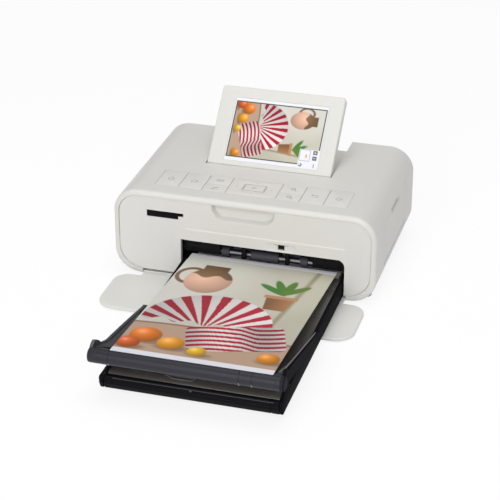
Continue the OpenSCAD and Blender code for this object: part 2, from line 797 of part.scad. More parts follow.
module power_key() { key(column(0), column(1), key_y, key_back, key_lip, key_lip); }
module home_key() { key(column(1), column(2), key_y, key_back, key_lip, key_lip); }
module menu_key() { key(column(2), column(3), key_mid, key_back, 0, key_lip); }
module edit_key() { key(column(2), column(3), key_y, key_mid, key_lip, 0); }
module zoom_in_key() { key(column(4), column(5), key_mid, key_back, 0, key_lip); }
module zoom_out_key() { key(column(4), column(5), key_y, key_mid, key_lip, 0); }
module back_key() { key(column(5), column(6), key_y, key_back, key_lip, key_lip); }
module print_key() { key(column(6), column(7), key_y, key_back, key_lip, key_lip); }

module four_way_pad() {
    gap = seam / 2;
    xm = (column(3) + column(4)) / 2;
    color("#e4e2dd") from_front() difference() {
        union() {
            box(column(3) + gap, column(4) - gap, key_y + gap, key_back - gap, key_under, body_top);
            box(column(3) + gap, column(4) - gap, key_y + gap - key_lip, key_back - gap + key_lip,
                key_under, key_lip_top);
            for (x = [xm - pad_w / 2 + 4, xm + pad_w / 2 - 4])
                translate([x, key_mid, key_under - stem_l]) cylinder(h = stem_l + eps, r = 1.5);
        }
        box(xm - ok_w / 2 - gap, xm + ok_w / 2 + gap, key_mid - ok_l / 2 - gap,
            key_mid + ok_l / 2 + gap,
            key_under - cut, body_top + cut);
    }
}

module ok_key() {
    xm = (column(3) + column(4)) / 2;
    color("#e8e6e1") from_front() {
        translate([0, 0, key_under]) linear_extrude(body_top - key_under)
            soft_rect(xm - ok_w / 2 + seam / 2, xm + ok_w / 2 - seam / 2, key_mid - ok_l / 2 + seam / 2,
                key_mid + ok_l / 2 - seam / 2, 1, 1);
        translate([xm, key_mid, key_under - stem_l]) cylinder(h = stem_l + eps, r = 1.5);
    }
}

module key_board() {
    xm = (column(3) + column(4)) / 2;
    spots = [[column(0) + key_w / 2, key_mid], [column(1) + key_w / 2, key_mid],
        [column(2) + key_w / 2, key_y + key_l / 4], [column(2) + key_w / 2, key_y + 3 * key_l / 4],
        [xm, key_mid], [xm - pad_w / 2 + 4, key_mid], [xm + pad_w / 2 - 4, key_mid],
        [column(4) + key_w / 2, key_y + key_l / 4], [column(4) + key_w / 2, key_y + 3 * key_l / 4],
        [column(5) + key_w / 2, key_mid], [column(6) + key_w / 2, key_mid]];
    color("seagreen") from_front() {
        box(key_left - 1, key_left + key_row_w + 1, key_y - 4.3, key_board_y1,
            key_board_top - key_board_t,
            key_board_top);
        for (at = spots) translate([at[0], at[1], key_board_top - eps]) cylinder(h = dome_h + eps,
            r = 2);
    }
}

module main_board() {
    color("seagreen") from_front() {
        box(board_left, board_right, board_front, board_front + board_l, board_z, board_z + 1.6);
        for (chip = [[4, 18, 14], [6, 44, 10], [4, 66, 12]])
            translate([board_left + chip[0], board_front + chip[1], board_z + 1.6 - eps])
                cube([chip[2], chip[2], 1.6]);
        for (y = [8, 38, 60]) translate([board_right - 5, board_front + y, board_z + 1.6 - eps])
            cylinder(h = 7, r = 3);
    }
}

module card_socket() {
    color("#2b2b2e") from_front() difference() {
        box(card_x + 0.5, card_x + card_w - 0.5, panel_back, ribbon_front - 1, card_z - 1,
            card_z + card_h + 1);
        box(card_x + 1.5, card_x + card_w - 1.5, panel_back - cut, ribbon_front - 3, card_z + 0.6,
            card_z + card_h - 0.6);
    }
}

module host_socket() {
    color("#2b2b2e") from_front() difference() {
        box(host_x - host_w / 2 - 0.8, host_x + host_w / 2 + 0.8, panel_back, panel_back + 12,
            host_z - 0.2,
            host_z + host_h + 1);
        box(host_x - host_w / 2, host_x + host_w / 2, panel_back - cut, panel_back + 10, host_z + 0.4,
            host_z + host_h - 0.2);
    }
}

module power_inlet() {
    y0 = body_d - back_t;
    color("#1e1e20") from_front() {
        difference() {
            union() {
                box(inlet_x - 5.5, inlet_x + 5.5, y0 - 12, y0, inlet_z - 5, inlet_z + 5);
                rod_y(y0 - eps, body_d - 0.4, inlet_x, inlet_z, inlet_r);
            }
            rod_y(y0 - 8, body_d + cut, inlet_x, inlet_z, 2.8);
        }
        rod_y(y0 - 8 - eps, body_d - 1, inlet_x, inlet_z, 0.9);
    }
}

// Bores of both chassis plates: shaft axes, and the spool axis where the gear drives it
module chassis_bores(x, driven) {
    for (at = [eject_at, pick_at, platen_at, capstan_at, pinch_at])
        rod_x(x - cut, x + chassis_t + cut, at, shaft_r + running);
    rod_x(x - cut, x + chassis_t + cut, [head_pivot_y, head_pivot_z], head_pin_r + running);
    if (driven) {
        rod_x(x - cut, x + chassis_t + cut, takeup_at, shaft_r + running);
        rod_x(x - cut, x + chassis_t + cut, idler_at, shaft_r);
    }
}

module left_chassis() {
    x = chassis_left_x;
    color("#a9adb0") from_front() {
        difference() {
            box(x, x + chassis_t, chassis_y0, chassis_y1, chassis_z0, chassis_top);
            box(x - cut, x + chassis_t + cut, chassis_y0 - cut, panel_back + 30, card_z - 3,
                chassis_top + cut);
            chassis_bores(x, true);
        }
        rod_x(shaft_left, x + chassis_t, idler_at, shaft_r);
        box(x - 8, x + eps, chassis_y1 - 8, chassis_y1, chassis_z0 - 0.3, chassis_z0 + 1);
        box(x - 8, x + eps, 26, 34, chassis_z0 - 0.3, chassis_z0 + 1);
    }
}

module right_chassis() {
    x = chassis_right_x;
    color("#a9adb0") from_front() {
        difference() {
            intersection() {
                box(x, x + chassis_t, chassis_y0, chassis_y1, chassis_z0 - 0.3, chassis_top);
                along_y(chassis_y0, chassis_y1) outline(-wall - 0.3);
            }
            box(x - cut, x + chassis_t + cut, ribbon_front - 1, ribbon_rear + 1, ribbon_bottom - 1,
                ribbon_top + 1);
            chassis_bores(x, false);
        }
        // Feet on the right screw posts
        for (i = [2, 3]) box(screw_right - 3, x + eps, board_posts()[i][1] - 4,
            board_posts()[i][1] + 4, board_z,
            board_z + 1.2);
    }
}

module chassis_ties() {
    color("#a9adb0") from_front() {
        box(chassis_in_left, chassis_right_x, chassis_y1 - 6, chassis_y1 - 2, 31, 34);
        box(chassis_in_left, chassis_right_x, platen_at[0] + 12, platen_at[0] + 16, 6, 10);
    }
}

module paper_guides() {
    z0 = path_z - 1.6;
    color("#3c3c40") from_front() {
        box(chassis_in_left, chassis_right_x, cassette_rear + 2, platen_at[0] - platen_r - 1, z0,
            z0 + 0.8);
        box(chassis_in_left, chassis_right_x, platen_at[0] + platen_r + 1,
            capstan_at[0] - capstan_r - 1.5, z0, z0 + 0.8);
    }
}

module eject_shaft() {
    color("silver") from_front() rod_x(shaft_left, shaft_right, eject_at, shaft_r);
}

module eject_rollers() {
    color("#5b5b60") from_front() for (p = [[0, eject_mid_w], [-eject_side_x, eject_side_w],
        [eject_side_x, eject_side_w]])
        difference() {
            rod_x(mouth_x + p[0] - p[1] / 2, mouth_x + p[0] + p[1] / 2, eject_at, eject_r);
            rod_x(mouth_x + p[0] - p[1], mouth_x + p[0] + p[1], eject_at, shaft_r);
        }
}

module eject_gear() { color("ivory") from_front() gear(eject_at, eject_n, eject_turn, shaft_r); }

module pick_shaft() {
    color("silver") from_front() {
        rod_x(shaft_left, shaft_right, pick_at, shaft_r);
        gear(pick_at, pick_n, pick_turn, shaft_r - eps);
    }
}

module pick_rollers() {
    color("#4b4b50") from_front() for (side = [-1, 1]) {
        x = mouth_x + side * pick_x;
        difference() {
            rod_x(x - pick_w / 2, x + pick_w / 2, pick_at, pick_r);
            rod_x(x - pick_w, x + pick_w, pick_at, shaft_r);
            box(x - pick_w, x + pick_w, pick_at[0] - 10, pick_at[0] + 10, pick_z - 10,
                pick_z - pick_flat);
        }
    }
}

module feed_idler() { color("ivory") from_front() gear(idler_at, idler_n, idler_turn,
    shaft_r + running); }

module platen_roller() {
    color("#2d2d30") from_front() {
        rod_x(shaft_left, shaft_right, platen_at, shaft_r);
        rod_x(paper_left - 1, paper_right + 1, platen_at, platen_r);
        gear(platen_at, platen_n, platen_turn, shaft_r - eps);
    }
}

module capstan() {
    color("silver") from_front() {
        rod_x(shaft_left, shaft_right, capstan_at, shaft_r);
        rod_x(paper_left - 1, paper_right + 1, capstan_at, capstan_r);
        gear(capstan_at, capstan_n, capstan_turn, shaft_r - eps);
    }
}

module pinch_roller() {
    color("#3a3a3e") from_front() {
        rod_x(chassis_left_x - 0.8, shaft_right, pinch_at, shaft_r);
        rod_x(paper_left, paper_right, pinch_at, pinch_r);
    }
}

module takeup_gear() {
    color("ivory") from_front() {
        gear(takeup_at, takeup_n, 0, shaft_r);
        rod_x(gear_x, ribbon_left - 0.2, takeup_at, shaft_r);
    }
}

module spool(y, r) {
    rod_x(head_left, head_right, [y, spool_z], r);
    rod_x(ribbon_left - 0.2, ribbon_right, [y, spool_z], hub_r);
}

module takeup_spool() { color("#7a4a6a") from_front() spool(takeup_y, takeup_r); }

module supply_spool() { color("#5a5a8a") from_front() spool(supply_y, supply_r); }

module ribbon_case() {
    inner = ribbon_y - ribbon_gap;
    color("#8f9296") from_front() difference() {
        union() {
            for (side = [-1, 1]) along_x(ribbon_left, ribbon_right) difference() {
                y0 = side < 0 ? ribbon_front : ribbon_y + ribbon_gap;
                y1 = side < 0 ? inner : ribbon_rear;
                translate([y0, ribbon_bottom]) square([y1 - y0, ribbon_top - ribbon_bottom]);
            }
            for (x = [ribbon_left, ribbon_right - ribbon_end])
                box(x, x + ribbon_end, inner - eps, ribbon_y + ribbon_gap + eps, spool_z + 2,
                    ribbon_top);
        }
        for (y = [supply_y, takeup_y]) {
            rod_x(ribbon_left + ribbon_end, ribbon_right - ribbon_end, [y, spool_z], chamber_r);
            rod_x(ribbon_left - cut, ribbon_right + cut, [y, spool_z], hub_r + running);
        }
        box(ribbon_left + ribbon_end, ribbon_right - ribbon_end, ribbon_y - ribbon_gap - 5,
            ribbon_y + ribbon_gap + 5, ribbon_bottom - cut, spool_z + 2.6);
    }
}

// Film from one spool, down under the head and up to the other
module ribbon_film() {
    half = head_w / 2 + 1;
    function edge(side, lift) = [
        [ribbon_y + side * (spool_span / 2 - supply_r - 0.6), spool_z],
        [ribbon_y + side * half, film_z + lift]];
    color("#6a3f63") from_front() along_x(paper_left + 1, paper_right - 1) polygon([
        edge(-1, film_t)[0], edge(-1, film_t)[1], edge(1, film_t)[1], edge(1, film_t)[0],
        edge(1, 0)[0] + [film_t, 0], edge(1, 0)[1] + [film_t, 0], edge(-1, 0)[1] - [film_t, 0],
        edge(-1, 0)[0] - [film_t, 0]]);
}

module head_arm() {
    z0 = head_plate_z;
    pivot = [head_pivot_y, head_pivot_z];
    color("#b7babd") from_front() difference() {
        union() {
            box(head_left, head_right, ribbon_y - head_w / 2, head_pivot_y + 3, z0, z0 + arm_plate_t);
            for (x = [ribbon_left, ribbon_right - 1.5]) {
                box(x, x + 1.5, head_pivot_y - 3.5, head_pivot_y + 3.5, head_pivot_z - 3,
                    z0 + arm_plate_t);
                box(min(x, head_right - 1), max(x + 1.5, head_left + 1), head_pivot_y - 3.5,
                    head_pivot_y + 3,
                    z0, z0 + arm_plate_t);
            }
            rod_x(chassis_left_x - 0.5, ribbon_left + 1, pivot, head_pin_r);
            rod_x(ribbon_right - 1, chassis_right_x + chassis_t + 0.5, pivot, head_pin_r);
        }
    }
}

module thermal_head() {
    y0 = ribbon_y - head_w / 2;
    color("#c9ccce") from_front() {
        box(head_left, head_right, y0, y0 + head_w, head_bottom + 4, head_plate_z);
        box(paper_left, paper_right, y0 + 2, y0 + head_w - 2, head_bottom, head_bottom + 4 + eps);
    }
}

module drive_motor() {
    x1 = gear_x - 2.6;
    color("#8b8e91") from_front() {
        rod_x(x1 - motor_l, x1, motor_at, motor_r);
        difference() {
            box(x1, x1 + 1.2, motor_at[0] - motor_r, motor_at[0] + motor_r, motor_at[1] - motor_r,
                motor_at[1] + motor_r);
            rod_x(x1 - cut, x1 + 2, motor_at, 4);
        }
        for (at = [motor_at + [-9, 9], motor_at + [4, 9.5]])
            rod_x(x1 + 1.2 - eps, chassis_left_x, at, 1.6);
    }
}

module motor_pinion() {
    color("gold") from_front() {
        gear(motor_at, pinion_n, pinion_turn, 1);
        rod_x(gear_x - 2.4, gear_x + gear_t, motor_at, 1);
    }
}

module fan_housing() {
    y1 = body_d - back_t;
    at = [fan_x + fan_w / 2, fan_z + fan_w / 2];
    color("#28282b") from_front() {
        difference() {
            box(fan_x, fan_x + fan_w, y1 - fan_t, y1, fan_z, fan_z + fan_w);
            rod_y(y1 - fan_t + 1, y1 + cut, at[0], at[1], fan_w / 2 - 1.2);
            for (a = [0 : 90 : 270]) rod_y(y1 - fan_t - cut, y1, at[0] + 8 * cos(a + 45),
                at[1] + 8 * sin(a + 45), 4);
        }
        rod_y(y1 - fan_t, y1 - fan_t + 4, at[0], at[1], 1.5);
    }
}

module fan_rotor() {
    y0 = body_d - back_t - fan_t + 1.4;
    at = [fan_x + fan_w / 2, fan_z + fan_w / 2];
    color("#1c1c1f") from_front() translate([at[0], y0 + 7, at[1]]) rotate([90, 0, 0]) difference() {
        union() {
            cylinder(h = 7, r = 5);
            for (i = [0 : 6]) rotate([0, 0, i * 360 / 7]) translate([4.5, -0.6,
                0.5]) cube([fan_w / 2 - 1.8 - 4.5, 1.2, 6]);
        }
        translate([0, 0, 4]) cylinder(h = 4, r = 1.5 + running);
    }
}

// Side plate of the cassette with its round nose under the bar
module cheek_outline(r) {
    y0 = -cassette_front;
    web = y0 + 3 * nose_r;
    translate([web, cassette_z]) square([cassette_front + cassette_rear - 3 * nose_r, cassette_h]);
    translate([y0 + nose_r - 2, cassette_z + nose_r]) circle(nose_r);
    polygon([[y0 + nose_r - 2, cassette_z], [web + 1, cassette_z], [web + 1, cassette_top - 0.2],
        [-bar_y + r, bar_z], [-bar_y, bar_z], [-bar_y - r / 2, bar_z - r * 0.85],
        [y0 + nose_r + 1, cassette_z + 2 * nose_r - 0.6], [y0 + nose_r - 2, cassette_z + 2 * nose_r - 0.1]]);
    translate([-bar_y, bar_z]) circle(r);
}

module cassette_case() {
    y0 = -cassette_front;
    at = [-bar_y, bar_z];
    color("#1a1a1d") from_front() difference() {
        union() {
            box(cassette_left, cassette_right, y0 + 4, cassette_rear, cassette_z, cassette_floor);
            for (x = [cassette_left, cassette_right - cassette_t]) along_x(x,
                x + cassette_t) cheek_outline(bar_r);
            along_x(cassette_left, cassette_left + ear_w) translate(at) circle(bar_r);
            box(cassette_left, cassette_right, cassette_rear - cassette_t, cassette_rear, cassette_z,
                cassette_floor + 4);
            // Ledges that the inner lid slides on
            for (x = [cassette_left + cassette_t - eps, cassette_right - cassette_t - 1.4])
                box(x, x + 1.4 + eps, y0 + 6.5, lid_rear, lid_top - lid_t - 1.2, lid_top - lid_t - 0.1);
            // Glossy front bar
            along_x(cassette_left - front_bar_over, cassette_right + 0.3) {
                translate([y0 + 3, cassette_z]) square([3, front_bar_t]);
                translate([y0 + 3, cassette_z + front_bar_t / 2]) circle(front_bar_t / 2 - eps);
            }
        }
        rod_x(cassette_left - cut, cassette_right + cut, at, journal_r + running);
    }
}

module inner_lid() {
    x0 = cassette_left + cassette_t + 0.2;
    x1 = cassette_right - cassette_t - 0.2;
    color([0.25, 0.24, 0.24, 0.8]) from_front() {
        box(x0, x1, -cassette_front + 1, lid_rear, lid_top - lid_t, lid_top);
        for (side = [-1, 1]) for (x = [26, 44])
            along_x(mouth_x + side * x - 0.6, mouth_x + side * x + 0.6)
                polygon([[-14, lid_top - eps], [lid_rear, lid_top - eps], [lid_rear, print_z - 0.5],
                    [lid_rear - 2, print_z - 0.35]]);
    }
}

// Plate of the tray frame beside the print, in a plane that slopes down from the bar
module arm_plate(points) {
    linear_extrude(arm_t, center = true) polygon(points);
}

// Side wall of the tray frame: a round end with a finger lug, tapering down to a clip
module arm_side() {
    translate([-bar_y, bar_z]) {
        circle(bar_r + 0.2);
        polygon([[0, bar_r], [4, bar_r + 2], [8, bar_r + 1.2], [23, 3.4], [46, -2.3], [arm_l - 22, -6.5],
            [arm_l - 5, -8.4], [arm_l, -11], [arm_l, -15], [arm_l - 3, -17], [arm_l - 8, -15.6], [56, -12],
            [26, -5.9], [13, -4], [4, -5], [0, -bar_r]]);
    }
}

module tray_frame() {
    at = [-bar_y, bar_z];
    ear_x = cassette_left + ear_w + pass / 2;
    inner = print_left - arm_clear;
    outer = print_left + sheet_w + arm_clear;
    left_x = cassette_left - 0.3;
    right_x = cassette_right + 0.6;
    color("#46464c") from_front() {
        rod_x(ear_x, bar_right, at, bar_r);
        rod_x(bar_left, cassette_left - pass / 2, at, bar_r);
        rod_x(bar_left + 1, right_x + eps, at, journal_r);
        // Left wall, bent outwards to the end of the bar
        intersection() {
            along_x(bar_left, left_x) arm_side();
            translate([0, -bar_y, -cut]) linear_extrude(bar_z + 3 * bar_r) polygon([[bar_left, -bar_r - 1],
                [bar_left, 4], [bar_left + 2, 11], [left_x - arm_t, 18], [left_x - arm_t, arm_l + 1],
                [left_x, arm_l + 1], [left_x, 17], [bar_left + 4.2, 9.5], [bar_left + 2.2, 3.4],
                [bar_left + 2.2, -bar_r - 1]]);
        }
        along_x(right_x, right_x + arm_t) arm_side();
        translate([0, -bar_y, bar_z + 1.3]) rotate([-arm_slope, 0, 0]) {
            difference() {
                arm_plate([[bar_left + 2, 0], [bar_left + 2, 6], [bar_left + 4, 10], [left_x - 1, 17],
                    [left_x - 1, 74], [left_x, 74], [inner, 50], [inner, 0]]);
                translate([cassette_left - pass / 2, -9, -9])
                    cube([ear_w + pass, 9 + bar_r + 2, 18]);
            }
            arm_plate([[outer, 0], [outer, 12], [right_x, 44], [right_x + 1, 44], [right_x + 1,
                bar_r + 2], [bar_right, bar_r + 2], [bar_right, 0]]);
        }
    }
}

lift_front = stack_rear - sheet_l;
module lift_plate() {
    color("#9da0a3") from_front() box(paper_left + 1, paper_right - 1, lift_front, stack_rear,
        lift_z, stack_z);
}

module lift_spring() {
    color("silver") from_front() for (y = [-90, -10]) for (x = [mouth_x - 30, mouth_x + 22])
        along_x(x, x + 8) polygon([[y - 14, cassette_floor], [y, lift_z - 0.4], [y + 14,
            cassette_floor],
            [y + 14, cassette_floor + 0.4], [y, lift_z], [y - 14, cassette_floor + 0.4]]);
}

module paper_stack() {
    color("white") from_front() box(paper_left, paper_right, lift_front, stack_rear, stack_z,
        stack_z + stack_t);
}

module photo_print() {
    color("#c98f86") from_front() translate([print_left, print_rear, print_z]) rotate([-print_angle,
        0, 0])
        translate([0, -print_l, 0]) cube([sheet_w, print_l, print_t]);
}

outer_case();
front_panel();
paper_mouth();
base_plate();
back_cover();
rubber_feet();
case_screws();
screen_well();
screen_frame();
display_panel();
screen_back();
screen_pins();
front_cover();
ribbon_door();
power_key();
home_key();
menu_key();
edit_key();
four_way_pad();
ok_key();
zoom_out_key();
zoom_in_key();
back_key();
print_key();
key_board();
main_board();
card_socket();
host_socket();
power_inlet();
left_chassis();
right_chassis();
chassis_ties();
paper_guides();
eject_shaft();
eject_rollers();
eject_gear();
pick_shaft();
pick_rollers();
feed_idler();
platen_roller();
capstan();
pinch_roller();
takeup_gear();
takeup_spool();
supply_spool();
ribbon_case();
ribbon_film();
head_arm();
thermal_head();
drive_motor();
motor_pinion();
fan_housing();
fan_rotor();
cassette_case();
inner_lid();
tray_frame();
lift_plate();
lift_spring();
paper_stack();
photo_print();
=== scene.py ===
import json
import math

import bpy
import numpy as np
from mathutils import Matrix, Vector


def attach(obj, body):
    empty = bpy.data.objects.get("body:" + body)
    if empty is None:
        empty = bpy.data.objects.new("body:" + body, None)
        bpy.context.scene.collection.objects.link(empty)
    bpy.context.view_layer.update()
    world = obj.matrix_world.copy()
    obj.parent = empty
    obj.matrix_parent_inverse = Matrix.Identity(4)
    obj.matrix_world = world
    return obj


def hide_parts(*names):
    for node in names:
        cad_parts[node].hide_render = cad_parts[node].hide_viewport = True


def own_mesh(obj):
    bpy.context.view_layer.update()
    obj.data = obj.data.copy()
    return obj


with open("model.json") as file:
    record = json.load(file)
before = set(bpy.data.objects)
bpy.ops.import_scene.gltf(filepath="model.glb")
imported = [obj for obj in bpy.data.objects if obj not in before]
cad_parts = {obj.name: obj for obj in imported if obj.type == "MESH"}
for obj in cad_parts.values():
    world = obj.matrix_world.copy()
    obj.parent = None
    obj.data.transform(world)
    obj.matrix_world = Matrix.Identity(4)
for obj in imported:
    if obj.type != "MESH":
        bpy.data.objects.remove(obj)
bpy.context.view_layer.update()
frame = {"nodes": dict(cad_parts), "record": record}
print("frame loaded:", len(frame["nodes"]), "nodes")

# Lengths below are millimetres from the middle of the casing's front rim, and shift goes back to the frame
shift = 21.0
mm = 0.001
tiny = 1e-6     # a loop that keeps its size is still shrunk by this little
sharpEdge = math.radians(40)     # edges that turn further than this stay sharp or get their bevel


def quads(rows, columns, wrapRows=False, wrapColumns=False):
    # corners of cell (i, j) of a grid are (i, j), (i, j+1), (i+1, j+1), (i+1, j), all numbered row by row
    i = np.arange(rows if wrapRows else rows - 1)[:, None]
    j = np.arange(columns if wrapColumns else columns - 1)[None, :]
    nextRow, nextColumn = (i + 1) % rows, (j + 1) % columns
    corners = np.broadcast_arrays(i * columns + j, i * columns + nextColumn,
                                  nextRow * columns + nextColumn, nextRow * columns + j)
    return np.stack(corners, -1).reshape(-1, 4)


def outward(points, faces):
    # the signed volume is a sixth of the sum of a . (b x c) over a fan of each face; if negative, faces turn round
    volume = 0.0
    for group in faces:
        first = points[group[:, 0]]
        for k in range(1, group.shape[1] - 1):
            volume += np.einsum("ij,ij->", first, np.cross(points[group[:, k]], points[group[:, k + 1]]))
    return points, [group[:, ::-1] for group in faces] if volume < 0 else faces


def ringSolid(rings, closed=False):
    # ring k of n points is joined to ring k+1 point by point; open ends are capped with one flat face each
    rings = np.asarray(rings, float)
    count, size = rings.shape[:2]
    faces = [quads(count, size, closed, True)]
    if not closed:
        faces += [np.arange(size)[None, ::-1], (count - 1) * size + np.arange(size)[None]]
    return outward(rings.reshape(-1, 3), faces)


def sheetSolid(top, bottom, keep=None, wrap=False):
    # two matching grids of points face each other over the kept cells, with a wall wherever a kept cell ends
    rows, columns = top.shape[:2]
    cells = (rows if wrap else rows - 1, columns - 1)
    keep = np.ones(cells, bool) if keep is None else keep
    over = quads(rows, columns, wrap).reshape(*cells, 4)
    points = np.concatenate([top.reshape(-1, 3), bottom.reshape(-1, 3)])
    depth = rows * columns
    faces = [over[keep], over[keep][:, ::-1] + depth]
    padded = np.pad(keep, 1)
    if wrap:
        padded[0, 1:-1], padded[-1, 1:-1] = keep[-1], keep[0]
    neighbours = (padded[:-2, 1:-1], padded[1:-1, 2:], padded[2:, 1:-1], padded[1:-1, :-2])
    for edge, neighbour in enumerate(neighbours):
        cell = over[keep & ~neighbour]
        p, q = cell[:, edge], cell[:, (edge + 1) % 4]
        faces.append(np.stack([q, p, p + depth, q + depth], -1))
    used = np.unique(np.concatenate([group.ravel() for group in faces]))
    index = np.zeros(len(points), int)
    index[used] = np.arange(len(used))
    return outward(points[used], [index[group] for group in faces])


def joined(*shapes):
    # points are stacked, and each shape's faces are counted on from the points before it
    points, faces, start = [], [], 0
    for shapePoints, shapeFaces in shapes:
        points.append(shapePoints)
        faces += [group + start for group in shapeFaces]
        start += len(shapePoints)
    return np.concatenate(points), faces


def moved(shape, change):
    # every point goes through the same change, and a shape that it mirrors turns its faces round
    return outward(change(shape[0]), shape[1])


def shrunk(loop, distance):
    # each point moves inwards along the mean of its two edge normals, so that both edges move by the distance
    edge = np.roll(loop, -1, 0) - loop
    edge /= np.linalg.norm(edge, axis=1, keepdims=True)
    normal = np.stack([-edge[:, 1], edge[:, 0]], -1)
    before = np.roll(normal, 1, 0)
    area = np.sum(loop[:, 0] * np.roll(loop[:, 1], -1) - np.roll(loop[:, 0], -1) * loop[:, 1])
    step = (before + normal) / (1 + np.sum(before * normal, 1))[:, None]
    return loop + math.copysign(distance, area * distance) * step


def arc(centre, radius, start, end, steps):
    # centre + radius * (cos a, sin a) for a from start to end, in degrees
    angle = np.radians(np.linspace(start, end, steps + 1))
    return np.stack([centre[0] + radius * np.cos(angle), centre[1] + radius * np.sin(angle)], -1)


def roundRect(x0, x1, y0, y1, front, back=None, steps=6):
    # four quarter circles, one radius at the low y corners and one at the high y corners
    back = front if back is None else back
    corners = ((x1 - front, y0 + front, front, -90), (x1 - back, y1 - back, back, 0),
               (x0 + back, y1 - back, back, 90), (x0 + front, y0 + front, front, 180))
    return np.concatenate([arc((x, y), r, a, a + 90, steps) for x, y, r, a in corners])


def standing(loop, height, axis):
    # a flat loop is laid across the axis at the given height: x takes (y, z), y takes (x, z), z takes (x, y)
    level = np.full(len(loop), float(height))
    columns = {"x": (level, loop[:, 0], loop[:, 1]), "y": (loop[:, 0], level, loop[:, 1]),
               "z": (loop[:, 0], loop[:, 1], level)}
    return np.stack(columns[axis], -1)


def softPrism(loop, low, high, lowRound, highRound=None, axis="z", steps=4):
    # a loop carried from low to high; near an end it shrinks by r - r sin a where it is r - r cos a away from it
    highRound = lowRound if highRound is None else highRound
    turn = np.radians(np.linspace(0, 90, steps + 1))

    def ring(end, way, r, a):
        return standing(shrunk(loop, r * (1 - math.sin(a)) + tiny), end + way * r * (1 - math.cos(a)), axis)

    return ringSolid([ring(low, 1, lowRound, a) for a in turn] + [ring(high, -1, highRound, a) for a in turn[::-1]])


def softBox(x0, x1, y0, y1, z0, z1, rounding=0.3):
    # a rounded rectangle carried up with the same rounding at its ends
    return softPrism(roundRect(x0, x1, y0, y1, rounding, steps=4), z0, z1, rounding)


def turned(profile, centre, axis="x", steps=48):
    # profile points (a, r) become circles of radius r at a along the axis
    angle = np.linspace(0, 2 * math.pi, steps, endpoint=False)
    rings = [standing(np.stack([centre[0] + r * np.cos(angle), centre[1] + r * np.sin(angle)], -1), a, axis)
             for a, r in profile]
    return ringSolid(rings)


def tube(path, radius, steps=12):
    # circles stand across the path, on the two directions that are square to it
    path = np.asarray(path, float)
    along = np.gradient(path, axis=0)
    along /= np.linalg.norm(along, axis=1, keepdims=True)
    side = np.cross(along, (0.0, 0.0, 1.0))
    flat = np.linalg.norm(side, axis=1) < 1e-6
    side[flat] = (1.0, 0.0, 0.0)
    side /= np.linalg.norm(side, axis=1, keepdims=True)
    other = np.cross(side, along)
    angle = np.linspace(0, 2 * math.pi, steps, endpoint=False)[:, None]
    return ringSolid([p + radius * (np.cos(angle) * s + np.sin(angle) * o) for p, s, o in zip(path, side, other)])


def strokeMark(path, width, low, high, close=False):
    # a pen line: the path moved by half a width to each side, and carried from low to high
    path = np.asarray(path, float)
    ahead = (np.roll(path, -1, 0) - np.roll(path, 1, 0)) if close else np.gradient(path, axis=0)
    ahead /= np.linalg.norm(ahead, axis=1, keepdims=True)
    side = np.stack([-ahead[:, 1], ahead[:, 0]], -1) * width / 2
    if close:
        path, side = np.vstack([path, path[:1]]), np.vstack([side, side[:1]])
    rims = np.stack([path - side, path + side], 1)
    grids = [np.concatenate([rims, np.full(rims.shape[:2] + (1,), z)], -1) for z in (high, low)]
    if close:
        return sheetSolid(grids[0][:-1], grids[1][:-1], wrap=True)
    return sheetSolid(*grids)


def softCorners(points, rounding=2.0):
    # corners are cut by a quadratic curve from one edge to the next: (1-t)^2 a + 2t(1-t) p + t^2 b
    points = np.asarray(points, float)
    t = np.linspace(0, 1, 5)[None, :, None]

    def cut(neighbours):
        # the points towards the neighbours by the rounding, or by 0.45 of a short edge
        edge = neighbours - points
        length = np.linalg.norm(edge, axis=1, keepdims=True)
        return (points + edge / length * np.minimum(rounding, length * 0.45))[:, None]

    start, end = cut(np.roll(points, 1, 0)), cut(np.roll(points, -1, 0))
    return ((1 - t) ** 2 * start + 2 * t * (1 - t) * points[:, None] + t * t * end).reshape(-1, 2)


def smooth(value):
    # 3 t^2 - 2 t^3 with t held between 0 and 1
    t = np.clip(value, 0, 1)
    return t * t * (3 - 2 * t)


def boxDistance(x, y, cx, cy, hx, hy, radius):
    # signed distance to a rounded rectangle: length of what sticks out of the inner rectangle, less the radius
    qx, qy = np.abs(x - cx) - hx + radius, np.abs(y - cy) - hy + radius
    return np.hypot(np.maximum(qx, 0), np.maximum(qy, 0)) + np.minimum(np.maximum(qx, qy), 0) - radius


def piece(name, shape, finish, body, stands=(), bevel=0.0, paint=None, flat=False):
    # millimetres become metres in the frame, the mesh gets its finish, and the piece rides on its body
    points, faces = shape
    mesh = bpy.data.meshes.new(name)
    mesh.from_pydata(((points + (0, shift, 0)) * mm).tolist(), [], [f for group in faces for f in group.tolist()])
    if paint is not None:
        layer = mesh.attributes.new("paint", "FLOAT_COLOR", "POINT")
        layer.data.foreach_set("color", np.c_[paint, np.ones(len(paint))].ravel())
    mesh.validate()
    if flat:
        mesh.shade_flat()
    else:
        mesh.shade_smooth()
        if not bevel:
            mesh.set_sharp_from_angle(angle=sharpEdge)
    mesh.materials.append(finish.material)
    made = bpy.data.objects.new(name, mesh)
    bpy.context.scene.collection.objects.link(made)
    if bevel:
        soft = made.modifiers.new("soft edges", "BEVEL")
        soft.width, soft.segments, soft.limit_method = bevel * mm, 2, "ANGLE"
        soft.angle_limit, soft.harden_normals, soft.use_clamp_overlap = sharpEdge, True, True
    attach(made, body)
    if stands:
        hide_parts(*stands)
    return made


class Wire:
    # holds one output, so that wires are added and multiplied as numbers are
    def __init__(self, nodes, outlet):
        self.nodes, self.outlet = nodes, outlet

    def maths(self, operation, *values):
        return self.nodes.node("Math", {"operation": operation}, *values)

    def __add__(self, other): return self.maths("ADD", self, other)
    def __radd__(self, other): return self.maths("ADD", other, self)
    def __mul__(self, other): return self.maths("MULTIPLY", self, other)
    def __rmul__(self, other): return self.maths("MULTIPLY", other, self)


